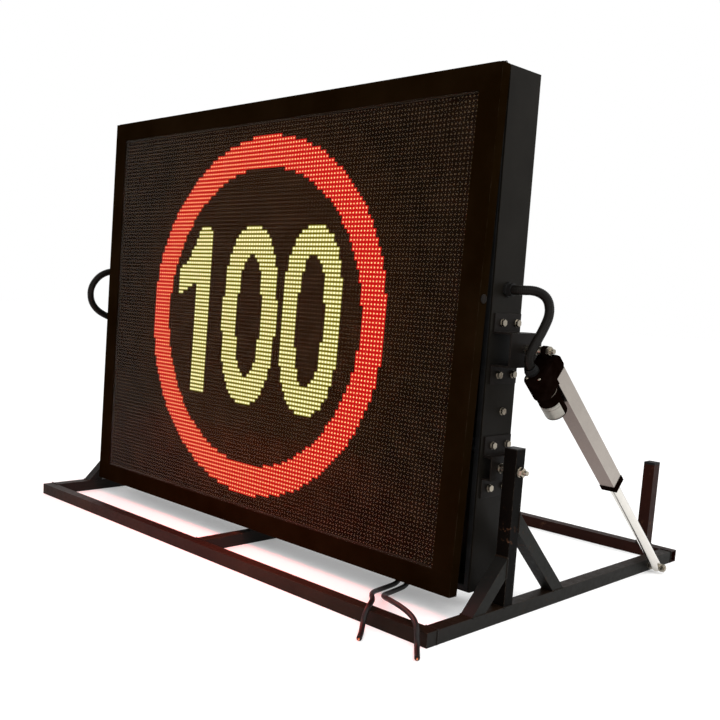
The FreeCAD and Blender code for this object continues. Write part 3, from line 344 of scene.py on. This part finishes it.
along_actuator = ((ACTUATOR_LEAN, 0, 0), (0.06, 0.06, 6.0))
worn_steel = linear(88, 78, 68)
materials = {
    # The frame paint comes in copies with painted light in them: frame_steel is warm as if lit from the front, the
    # uprights are darker with painted shade, the rest posts and rear rail are redder with a painted warm
    # reflection, and the braces are neutral.
    "frame_steel": welded_frame_paint("frame_steel", linear(20, 13, 8), linear(33, 22, 14), linear(25, 24, 22)),
    "upright_painted_shade": welded_frame_paint("upright_painted_shade", linear(5, 3, 2), linear(9, 7, 5), linear(6, 5, 4),
                                        specular=0.02),
    "post_painted_warm_light": welded_frame_paint("post_painted_warm_light", linear(30, 10, 5), linear(40, 16, 9), linear(32, 14, 9)),
    "cabinet_paint": powder_coat("cabinet_paint", linear(14, 12, 9), worn_steel, specular=0.04),
    "brace_paint": welded_frame_paint("brace_paint", linear(18, 17, 16), linear(26, 25, 23), linear(23, 23, 21)),
    "door_paint": powder_coat("door_paint", linear(13, 6, 1), worn_steel, specular=0.0),
    "rear_paint": powder_coat("rear_paint", linear(26, 24, 21), worn_steel),
    "bracket_paint": powder_coat("bracket_paint", linear(14, 11, 9), worn_steel, wear=0.5),
    "zinc": metal("zinc", linear(150, 142, 128), 0.26, dirt=0.5),
    "stainless": metal("stainless", linear(215, 211, 204), 0.18, stretch=along_actuator, dirt=0.12),
    # The tube's faces that look down take a darker, pinker painted shade.
    "tube_aluminium": metal("tube_aluminium", linear(160, 152, 144), 0.3, stretch=along_actuator, dirt=0.2,
                            painted_shade=linear(122, 106, 99)),
    "galvanised": metal("galvanised", linear(160, 162, 164), 0.42, grain=70),
    "black_rubber": plastic("black_rubber", linear(12, 12, 12), 0.6, specular=0.1),
    "cap_plastic": plastic("cap_plastic", linear(14, 13, 12), 0.45, specular=0.1),
    "gland_plastic": plastic("gland_plastic", linear(13, 12, 11), 0.4, specular=0.12),
    "conduit_plastic": plastic("conduit_plastic", linear(7, 5, 3), 0.36, specular=0.08),
    "lead_rubber": plastic("lead_rubber", linear(16, 11, 10), 0.45, specular=0.15),
    "housing_plastic": plastic("housing_plastic", linear(6, 2, 1), 0.42, specular=0.0, grain=1200),
    "seam_plastic": plastic("seam_plastic", linear(74, 66, 58), 0.4, specular=0.2),
    # Module plastic and unlit lamps carry a faint painted glow from the lit ring.
    "module_plastic": plastic("module_plastic", linear(20, 11, 5), 0.75, specular=0.01, radius=0.0002,
                              painted_glow=0.010),
    "trim_paint": powder_coat("trim_paint", linear(38, 30, 23), worn_steel, specular=0.03),
    "supply_case": metal("supply_case", linear(185, 187, 188), 0.3, grain=120),
    "controller_case": plastic("controller_case", linear(90, 94, 98), 0.5),
    "clear_plastic": clear_pane("clear_plastic"),
    "bare_label": metal("bare_label", linear(150, 146, 138), 0.4, dirt=0.3),
    "copper": metal("copper", linear(190, 120, 80), 0.35),
}
slot_shades = {"frame_front": "frame_steel"}
node_shades = {"upright_left": "upright_painted_shade", "upright_right": "upright_painted_shade", "rest_posts": "post_painted_warm_light",
               "rear_rail": "post_painted_warm_light", "frame_braces": "brace_paint"}
for entry in frame["record"]["subparts"]:
    node = frame["nodes"][entry["node"]]
    slot = entry["material_slot"]
    node.data.materials.clear()
    node.data.materials.append(materials[node_shades.get(entry["node"], slot_shades.get(slot, slot))])


# ---------------------------------------------------------------- mesh helpers

def piece(name, vertices, faces, material, body, smooth=False, place=None):
    """A mesh piece that rides on a CAD body."""
    mesh = bpy.data.meshes.new(name)
    mesh.from_pydata([tuple(vertex) for vertex in vertices], [], faces)
    if place is not None:
        mesh.transform(place)
    mesh.update()
    mesh.materials.append(materials[material])
    if smooth:
        mesh.polygons.foreach_set("use_smooth", [True] * len(mesh.polygons))
    made = bpy.data.objects.new(name, mesh)
    scene.collection.objects.link(made)
    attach(made, body)
    return made


def box_mesh(low, high):
    """Corners and faces of a closed box."""
    corners = [(x, y, z) for x in (low[0], high[0]) for y in (low[1], high[1]) for z in (low[2], high[2])]
    faces = [(0, 1, 3, 2), (4, 6, 7, 5), (0, 4, 5, 1), (2, 3, 7, 6), (0, 2, 6, 4), (1, 5, 7, 3)]
    return corners, faces


def merged(meshes):
    """Several (vertices, faces) meshes as one."""
    vertices = []
    faces = []
    for corners, sides in meshes:
        start = len(vertices)
        vertices.extend(corners)
        faces.extend(tuple(index + start for index in side) for side in sides)
    return vertices, faces


def lathe(profile, segments):
    """A closed shape turned round z, from (radius, height) pairs that start and end on the axis."""
    vertices = []
    rings = []
    for radius, height in profile:
        if radius == 0:
            rings.append([len(vertices)])
            vertices.append((0, 0, height))
            continue
        ring = []
        for step in range(segments):
            angle = 2 * math.pi * step / segments
            ring.append(len(vertices))
            vertices.append((radius * math.cos(angle), radius * math.sin(angle), height))
        rings.append(ring)
    faces = []
    for lower, upper in zip(rings, rings[1:]):
        for step in range(segments):
            after = (step + 1) % segments
            if len(lower) == 1:
                faces.append((lower[0], upper[after], upper[step]))
            elif len(upper) == 1:
                faces.append((lower[step], lower[after], upper[0]))
            else:
                faces.append((lower[step], lower[after], upper[after], upper[step]))
    return vertices, faces


def tube_mesh(points, radius_at, segments=12):
    """A closed tube along points, with a radius that may change from point to point."""
    points = [Vector(point) for point in points]
    normal = None
    vertices = []
    for index, point in enumerate(points):
        ahead = points[min(index + 1, len(points) - 1)] - points[max(index - 1, 0)]
        ahead.normalize()
        if normal is None:
            normal = ahead.orthogonal().normalized()
        normal = (normal - ahead * normal.dot(ahead)).normalized()
        side = ahead.cross(normal)
        radius = radius_at(index)
        for step in range(segments):
            angle = 2 * math.pi * step / segments
            vertices.append(point + (normal * math.cos(angle) + side * math.sin(angle)) * radius)
    faces = []
    for index in range(len(points) - 1):
        for step in range(segments):
            after = (step + 1) % segments
            base = index * segments
            faces.append((base + step, base + after, base + segments + after, base + segments + step))
    last = (len(points) - 1) * segments
    faces.append(tuple(reversed(range(segments))))
    faces.append(tuple(range(last, last + segments)))
    return vertices, faces


# ---------------------------------------------------------------- free cables

def world_points(route):
    """A route of (x, setback from the front, z) millimetres as points in the frame."""
    return [Vector((x, setback - BACK, z)) * MM for x, setback, z in route]


def smooth_curve(name, route):
    data = bpy.data.curves.new(name, "CURVE")
    data.dimensions = "3D"
    data.resolution_u = 12
    spline = data.splines.new("NURBS")
    spline.points.add(len(route) - 1)
    for point, place in zip(spline.points, world_points(route)):
        point.co = (*place, 1)
    spline.order_u = 3
    spline.use_endpoint_u = True
    return data


def centreline(name, route):
    """Points read from the route's smooth curve."""
    data = smooth_curve(name, route)
    holder = bpy.data.objects.new(name, data)
    mesh = bpy.data.meshes.new_from_object(holder)
    points = [vertex.co.copy() for vertex in mesh.vertices]
    bpy.data.meshes.remove(mesh)
    bpy.data.objects.remove(holder)
    bpy.data.curves.remove(data)
    return points


def resample(points, spacing):
    """The same line with evenly spaced points."""
    lengths = [0.0]
    for before, after in zip(points, points[1:]):
        lengths.append(lengths[-1] + (after - before).length)
    count = max(2, round(lengths[-1] / spacing))
    spots = np.linspace(0, lengths[-1], count + 1)
    columns = [np.interp(spots, lengths, [point[axis] for point in points]) for axis in range(3)]
    return [Vector(spot) for spot in zip(*columns)], lengths[-1]


conduit_routes = {
    "conduit_left": [
        (-710, 262, 680), (-734, 262, 680), (-751, 238, 683), (-757, 204, 680), (-760, 171, 662),
        (-764, 149, 627), (-768, 153, 588), (-774, 177, 561), (-780, 210, 545), (-784, 238.7, 536.3),
        (-784, 256.58, 520.3),
    ],
    "conduit_right": [
        (710, 262, 680), (729, 262, 680), (752, 280, 681), (770, 296, 668), (777, 299, 638),
        (778, 280, 608), (777, 258, 580), (775, 241, 554), (775, 242.44, 533), (775, 256.58, 520.3),
    ],
}
lead_routes = {
    "lead_short": [
        (482, 242, 38), (482, 242, 23), (487, 223, 12.5), (493, 192, 13), (503, 150, 16),
        (523, 105, 24), (556, 65, 34.5), (588, 35, 40.5), (603, 13, 41), (613, -7, 38),
        (618, -19, 27), (623, -28, 15), (633, -41, 7.5), (647, -58, 6), (661, -77, 6),
    ],
    "lead_long": [
        (508, 242, 38), (508, 242, 23), (513, 223, 12.5), (520, 192, 13), (531, 150, 16),
        (552, 107, 25), (587, 70, 38), (630, 43, 48), (676, 25, 51), (712, 12, 48),
        (735, -1, 42), (747, -11, 31), (753, -16, 17), (762, -26, 7.5), (777, -43, 6),
        (792, -60, 6),
    ],
}


STEPS_PER_RIB = 4


def free_cable(name, route, radius, ripple, pitch, material):
    """A mesh cable along its smooth line, fixed in the frame, in place of the CAD cable, which is hidden."""
    fine, length = resample(centreline(name + "_line", route), pitch / STEPS_PER_RIB)

    def ribbed(index):
        return radius - ripple * (0.5 - 0.5 * math.cos(2 * math.pi * index / STEPS_PER_RIB))

    vertices, faces = tube_mesh(fine, ribbed, 20)
    mesh = bpy.data.meshes.new(name + "_sleeve")
    mesh.from_pydata(vertices, [], faces)
    mesh.update()
    mesh.polygons.foreach_set("use_smooth", [len(face) < 5 for face in faces])
    mesh.materials.append(materials[material])
    made = bpy.data.objects.new(name + "_sleeve", mesh)
    scene.collection.objects.link(made)
    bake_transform(made)
    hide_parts(name)
    return made


CONDUIT_RADIUS = 10 * MM
LEAD_RADIUS = 5.5 * MM
for name in SIDES:
    route = conduit_routes["conduit_" + name]
    points = world_points(route)
    free_cable("conduit_" + name, route, CONDUIT_RADIUS,
               0.7 * MM, 3.2 * MM, "conduit_plastic")
for name, route in lead_routes.items():
    points = world_points(route)
    free_cable(name, route, LEAD_RADIUS, 0.0, 4 * MM,
               "lead_rubber")


# ---------------------------------------------------------------- display

hinge = Vector(next(item for item in frame["joints"] if item["name"] == "door_hinge")["pos_m"])
ajar = math.radians(2.16)
door_place = (Matrix.Translation(hinge) @ Matrix.Rotation(ajar, 4, Vector((-1, 0, 0)))
              @ Matrix.Translation(-hinge))
door_front = hinge.y - 25.5 * MM
module_face = door_front + 9.5 * MM
DISPLAY_HEIGHT = 578
PITCH = 10 * MM
COLUMNS = 128
ROWS = 96
RING_CENTRE = (63.5, 48.0)
RING_RADII = (37.3, 44.8)
ZEROS = ((61.0, 10.6), (83.9, 10.3))
display_left = -COLUMNS * PITCH / 2
display_top = DISPLAY_HEIGHT * MM + ROWS * PITCH / 2


def superellipse(x, y, half_width, half_height, power=2.4):
    return (np.abs(x) / half_width) ** power + (np.abs(y) / half_height) ** power <= 1


def lit_lamps():
    """Which lamps are lit: a ring, and a three-figure number inside it. X and Y count lamps."""
    x, y = np.meshgrid(np.arange(COLUMNS) + 0.5, np.arange(ROWS) + 0.5)
    distance = np.hypot(x - RING_CENTRE[0], y - RING_CENTRE[1])
    ring = (distance > RING_RADII[0]) & (distance < RING_RADII[1])
    stem = (x > 38) & (x < 44) & (y > 25) & (y < 69)
    rounded = (y > 26) | ((x > 39) & (x < 43))
    flag_top = np.interp(x, (30, 34, 36, 39), (36.6, 33.4, 30.5, 25))
    flag_low = np.interp(x, (30, 36.5), (43.6, 40.2))
    flag = (x > 30) & (x < 39) & (y > flag_top) & (y < flag_low)
    figures = stem & rounded | flag
    for centre, half_width in ZEROS:
        outer = superellipse(x - centre, y - 47.5, half_width, 22.4)
        inner = superellipse(x - centre, y - 47.5, 4.7, 15.4)
        figures = figures | (outer & ~inner)
    return ring, figures & ~ring


def lamp_mesh(cells, radius, height, segments=8):
    """A low dome for every lamp, all in one mesh."""
    rows, columns = np.nonzero(cells)
    angles = 2 * np.pi * (np.arange(segments) + 0.5) / segments
    rings = []
    for share, rise in ((1.0, -0.0002), (1.0, 0.45), (0.72, 0.85)):
        rings.append(np.stack([radius * share * np.cos(angles), np.full(segments, -height * rise),
                               radius * share * np.sin(angles)], axis=1))
    shape = np.concatenate(rings + [np.array([[0, -height, 0]])])
    faces = [tuple(reversed(range(segments)))]
    for level in range(2):
        for step in range(segments):
            after = (step + 1) % segments
            base = level * segments
            faces.append((base + step, base + after, base + segments + after, base + segments + step))
    top = 3 * segments
    for step in range(segments):
        faces.append((2 * segments + step, 2 * segments + (step + 1) % segments, top))
    centres = np.stack([display_left + (columns + 0.5) * PITCH, np.full(len(rows), module_face),
                        display_top - (rows + 0.5) * PITCH], axis=1)
    vertices = (centres[:, None, :] + shape[None]).reshape(-1, 3)
    step = len(shape)
    every = [tuple(index + step * lamp for index in face) for lamp in range(len(rows)) for face in faces]
    return vertices, every


def lit_field(name, cells, material, half_height, thickness):
    """Thin closed strips behind the lit lamps, one for each unbroken run in a row."""
    boxes = []
    spans = []
    for row in range(ROWS):
        line = np.concatenate([[0], cells[row].astype(int), [0]])
        starts = np.nonzero(np.diff(line) == 1)[0]
        ends = np.nonzero(np.diff(line) == -1)[0]
        for start, end in zip(starts, ends):
            z = display_top - (row + 0.5) * PITCH
            boxes.append(((display_left + start * PITCH, module_face - thickness, z - half_height),
                          (display_left + end * PITCH, module_face - 0.00002, z + half_height)))
            spans.append((start, end, row))
    vertices, faces = merged([box_mesh(low, high) for low, high in boxes])
    made = piece(name, vertices, faces, material, "door", place=door_place)
    layer = made.data.uv_layers.new(name="lamps")
    for polygon in made.data.polygons:
        start, end, row = spans[polygon.index // 6]
        for loop in polygon.loop_indices:
            corner = made.data.loops[loop].vertex_index % 8
            layer.data[loop].uv = (end if corner >= 4 else start, row + (0 if corner % 2 else 1))
    return made


materials["ring_glow"] = banded_glow("ring_glow", (0.88, 0.0, 0.0, 1), (0.55, 0.0, 0.0, 1), 1.0, 0.2, 0.5, 0.1)
materials["figure_glow"] = banded_glow("figure_glow", (0.85, 0.78, 0.22, 1), (0.17, 0.14, 0.0, 1), 1.0,
                                       0.20, 0.36, 0.12)
materials["ring_lamp"] = glow("ring_lamp", (1.0, 0.80, 0.38, 1), 1.25)
materials["figure_lamp"] = glow("figure_lamp", (1.0, 0.97, 0.60, 1), 1.4)
# Unlit lamps carry a faint painted glow from the lit ring.
materials["dark_lamp"] = plastic("dark_lamp", linear(76, 60, 40), 0.45, specular=0.06, painted_glow=0.008)

ring_cells, figure_cells = lit_lamps()
dark_cells = ~(ring_cells | figure_cells)
for name, cells, radius, height, shade in (("lamps_dark", dark_cells, 0.0016, 0.0014, "dark_lamp"),
                                           ("lamps_ring", ring_cells, 0.0019, 0.001, "ring_lamp"),
                                           ("lamps_figures", figure_cells, 0.0027, 0.0014, "figure_lamp")):
    vertices, faces = lamp_mesh(cells, radius, height)
    piece(name, vertices, faces, shade, "door", smooth=True, place=door_place)
lit_field("glow_ring", ring_cells, "ring_glow", PITCH / 2, 0.0003)
lit_field("glow_figures", figure_cells, "figure_glow", PITCH / 2, 0.0003)


def window_ring(outer, inner, near, far):
    """A closed rectangular ring; outer and inner are (half width, low, high), near and far are depths."""
    vertices = []
    for depth in (near, far):
        for half_width, low, high in (outer, inner):
            vertices += [(-half_width, depth, low), (half_width, depth, low), (half_width, depth, high),
                         (-half_width, depth, high)]
    faces = []
    for step in range(4):
        after = (step + 1) % 4
        faces.append((step, after, after + 4, step + 4))
        faces.append((step + 12, after + 12, after + 8, step + 8))
        faces.append((step + 8, after + 8, after, step))
        faces.append((step + 4, after + 4, after + 12, step + 12))
    return vertices, faces


def trim_outline(half_width, half_height):
    return half_width * MM, (DISPLAY_HEIGHT - half_height) * MM, (DISPLAY_HEIGHT + half_height) * MM


vertices, faces = window_ring(trim_outline(648, 488), trim_outline(639, 479), door_front + 5.3 * MM,
                              door_front + 9.2 * MM)
piece("display_trim", vertices, faces, "trim_paint", "door", place=door_place)


# ---------------------------------------------------------------- welds

TUBE = 30
OUTER = 764
INNER = OUTER - TUBE
REACH = BACK - TUBE
CROSS_RAIL = TUBE / 2
BEAD_START = 1
UPRIGHT = (-268.5, -238.5)
FRONT_BRACE_FOOT = (-374.5, -332.1)
FRONT_BRACE_TOP = (93.6, 136)
REAR_BRACE_FOOT = (-82.9, -40.5)
REAR_BRACE_TOP = (185.6, 228)
REST_POST = (663, 693)


def footing_lines(x_low, x_high, y_low, y_high):
    """The four edges where a tube stands on a rail."""
    corners = [(x_low, y_low, TUBE), (x_high, y_low, TUBE), (x_high, y_high, TUBE), (x_low, y_high, TUBE)]
    return list(zip(corners, corners[1:] + corners[:1]))


def saddle_lines(y, low, high):
    """The four edges where a brace meets an upright's face at the depth y."""
    corners = [(INNER, y, low), (OUTER, y, low), (OUTER, y, high), (INNER, y, high)]
    return list(zip(corners, corners[1:] + corners[:1]))


weld_lines = footing_lines(INNER, OUTER, *UPRIGHT)
weld_lines += footing_lines(INNER, OUTER, *FRONT_BRACE_FOOT)
weld_lines += footing_lines(INNER, OUTER, *REAR_BRACE_FOOT)
weld_lines += saddle_lines(UPRIGHT[0], *FRONT_BRACE_TOP)
weld_lines += saddle_lines(UPRIGHT[1], *REAR_BRACE_TOP)
weld_lines += footing_lines(*REST_POST, REACH, BACK)
for depth in (-REACH, REACH):
    weld_lines += [((INNER, depth, BEAD_START), (INNER, depth, TUBE)),
                   ((INNER, depth, TUBE), (OUTER, depth, TUBE)),
                   ((OUTER, depth, TUBE), (OUTER, depth, BEAD_START)),
                   ((CROSS_RAIL, depth, BEAD_START), (CROSS_RAIL, depth, TUBE)),
                   ((0, depth, TUBE), (CROSS_RAIL, depth, TUBE))]


def weld_bead(first, last):
    """A rippled bead along a straight joint, 2 mm thick."""
    first = Vector(first)
    last = Vector(last)
    count = max(4, round((last - first).length / 1.4))
    points = [first.lerp(last, step / count) * MM for step in range(count + 1)]

    def rippled(index):
        return (2.0 + 0.45 * math.sin(index * 1.9) + 0.2 * math.sin(index * 0.7)) * MM

    return tube_mesh(points, rippled, 8)


beads = []
for first, last in weld_lines:
    for side in SIDES.values():
        beads.append(weld_bead((side * first[0], *first[1:]), (side * last[0], *last[1:])))
vertices, faces = merged(beads)
piece("frame_welds", vertices, faces, "frame_steel", "base", smooth=True)


# ---------------------------------------------------------------- actuator details

def turned_ring(profile, segments, first=0.0, last=2 * math.pi):
    """A closed outline of (radius, height) pairs swept round z, fully or through part of a turn."""
    whole = last - first > 6.28
    steps = segments if whole else segments + 1
    vertices = []
    for step in range(steps):
        angle = first + (last - first) * step / segments
        vertices.extend((radius * math.cos(angle), radius * math.sin(angle), height) for radius, height in profile)
    size = len(profile)
    faces = []
    for step in range(segments):
        near = step * size
        far = (step + 1) % steps * size
        for corner in range(size):
            after = (corner + 1) % size
            faces.append((near + corner, far + corner, far + after, near + after))
    if not whole:
        faces.append(tuple(range(size)))
        faces.append(tuple(reversed(range((steps - 1) * size, steps * size))))
    return vertices, faces


ARM_PIN = (280.84, 563.02)
MOTOR_OFFSET = -52.5
MOTOR_RADIUS = 23.5
HOUSING_TOP = -11.0
MOTOR_SEAM = -63.0


def on_actuator(side, x=0.0, y=0.0, z=0.0):
    """Millimetres in the actuator's own hanging position, as metres in the frame."""
    turn = Matrix.Rotation(ACTUATOR_LEAN, 4, "X")
    pin = Matrix.Translation((side * 785 * MM, (ARM_PIN[0] - BACK) * MM, ARM_PIN[1] * MM))
    return pin @ turn @ Matrix.Diagonal((side * MM, MM, MM, 1)) @ Matrix.Translation((x, y, z))


def screw_head(radius, height):
    """A pan head with a round recess."""
    profile = [(0, 0), (radius, 0), (radius, height * 0.5), (radius * 0.8, height * 0.9), (radius * 0.35, height),
               (radius * 0.3, height * 0.45), (0, height * 0.4)]
    return lathe(profile, 20)


BOOT_X = {"left": -1, "right": -10}
for name, side in SIDES.items():
    body = "actuator_" + name
    boot = [(10.7, 0.2), (14.5, 0.2), (14.5, 7), (13.2, 8), (13.6, 9.5), (12.4, 11), (12.8, 13), (11.6, 16),
            (10.7, 16)]
    vertices, faces = turned_ring(boot, 32)
    piece("conduit_boot_" + name, vertices, faces, "black_rubber", body, smooth=False,
          place=on_actuator(side, BOOT_X[name], -48, HOUSING_TOP))
    seam = [(MOTOR_RADIUS - 0.2, -1.2), (MOTOR_RADIUS + 0.7, -1.2), (MOTOR_RADIUS + 0.9, -0.6),
            (MOTOR_RADIUS + 0.7, -0.05), (MOTOR_RADIUS - 0.2, -0.05)]
    vertices, faces = turned_ring(seam, 64)
    piece("motor_seam_" + name, vertices, faces, "seam_plastic", body, smooth=True,
          place=on_actuator(side, 0, MOTOR_OFFSET, MOTOR_SEAM))
    band = [(MOTOR_RADIUS + 0.02, -62), (MOTOR_RADIUS + 0.4, -62), (MOTOR_RADIUS + 0.4, -27),
            (MOTOR_RADIUS + 0.02, -27)]
    vertices, faces = turned_ring(band, 48, math.radians(-172), math.radians(-8))
    piece("motor_label_" + name, vertices, faces, "bare_label", body, smooth=False,
          place=on_actuator(side, 0, MOTOR_OFFSET, MOTOR_SEAM))
    rules = [turned_ring([(MOTOR_RADIUS + 0.41, low), (MOTOR_RADIUS + 0.5, low), (MOTOR_RADIUS + 0.5, low + 0.8),
                          (MOTOR_RADIUS + 0.41, low + 0.8)], 40, math.radians(-165), math.radians(-14))
             for low in (-60.5, -36.0, -29.3)]
    vertices, faces = merged(rules)
    piece("label_rules_" + name, vertices, faces, "seam_plastic", body,
          place=on_actuator(side, 0, MOTOR_OFFSET, MOTOR_SEAM))
    rib = [(-34, -51.2), (-28.2, -51.2), (-28.2, -104), (-34, -93)]
    corners = [(x, y, z) for x in (-12, 12) for y, z in rib]
    sides = [(0, 1, 2, 3), (7, 6, 5, 4)]
    sides += [(step + 4, (step + 1) % 4 + 4, (step + 1) % 4, step) for step in range(4)]
    piece("motor_rib_" + name, corners, sides, "housing_plastic", body, place=on_actuator(side))
    heads = []
    for x, y in ((-14, -64), (14, -64)):
        corners, sides = screw_head(3.2, 2.2)
        heads.append(([(cx + x, cy + y, cz + HOUSING_TOP) for cx, cy, cz in corners], sides))
    vertices, faces = merged(heads)
    piece("housing_screws_" + name, vertices, faces, "zinc", body, smooth=False, place=on_actuator(side))


# ---------------------------------------------------------------- louvre hoods

PANEL_FACE = -194 * MM
HOOD_OUTLINE = [(0, 9.5), (3.2, 8.6), (5.6, 6.2), (7.0, 2.6), (7.4, -1.5), (6.4, -1.5), (6.0, 2.2), (4.8, 5.4),
                (2.8, 7.6), (0, 8.4)]
CHEEK_OUTLINE = [(0, 9.5), (3.2, 8.6), (5.6, 6.2), (7.0, 2.6), (7.4, -1.5), (0, -1.5)]


def extruded(outline, first, last):
    """A closed solid from a (depth, height) outline drawn along X, in millimetres."""
    size = len(outline)
    vertices = [(x * MM, depth * MM, height * MM) for x in (first, last) for depth, height in outline]
    faces = [tuple(range(size)), tuple(reversed(range(size, 2 * size)))]
    faces += [(step + size, (step + 1) % size + size, (step + 1) % size, step) for step in range(size)]
    return vertices, faces


HOOD_HALF = 78
hood = merged([extruded(HOOD_OUTLINE, -HOOD_HALF, HOOD_HALF), extruded(CHEEK_OUTLINE, -HOOD_HALF - 1, -HOOD_HALF),
               extruded(CHEEK_OUTLINE, HOOD_HALF, HOOD_HALF + 1)])
hoods = []
for x in (-420, 420):
    for z_base in (160, 880):
        for index in range(7):
            shift = Vector((x * MM, PANEL_FACE, (z_base + 16 * index) * MM))
            hoods.append(([Vector(vertex) + shift for vertex in hood[0]], hood[1]))
vertices, faces = merged(hoods)
piece("louvre_hoods", vertices, faces, "rear_paint", "sign")


# ---------------------------------------------------------------- bare lead ends

for name, route in lead_routes.items():
    tip = world_points(route)[-1]
    along = (tip - world_points(route)[-2]).normalized()
    points = [tip + along * step * MM for step in (-0.5, 1, 2.5, 4, 5.5, 7, 8)]
    vertices, faces = tube_mesh(points, lambda index: (1.9, 1.9, 1.8, 1.9, 1.8, 1.9, 1.3)[index] * MM, 14)
    piece(name + "_core", vertices, faces, "copper", "base", smooth=True)


# ---------------------------------------------------------------- floor

bpy.ops.mesh.primitive_plane_add(size=40, location=(0, 0, -0.0005))
floor = bpy.context.object
floor.name = "floor"
floor_shade = Shader("pale_floor")
floor_tone = floor_shade.mix(floor_shade.noise(2, 2), (0.78, 0.78, 0.78, 1), (0.82, 0.82, 0.82, 1))
floor_shade.finish(floor_tone, 0.8, specular=0.0)
floor_shade.surface.inputs["Emission Color"].default_value = (1, 1, 1, 1)
floor_shade.surface.inputs["Emission Strength"].default_value = 0.25
floor.data.materials.append(floor_shade.material)
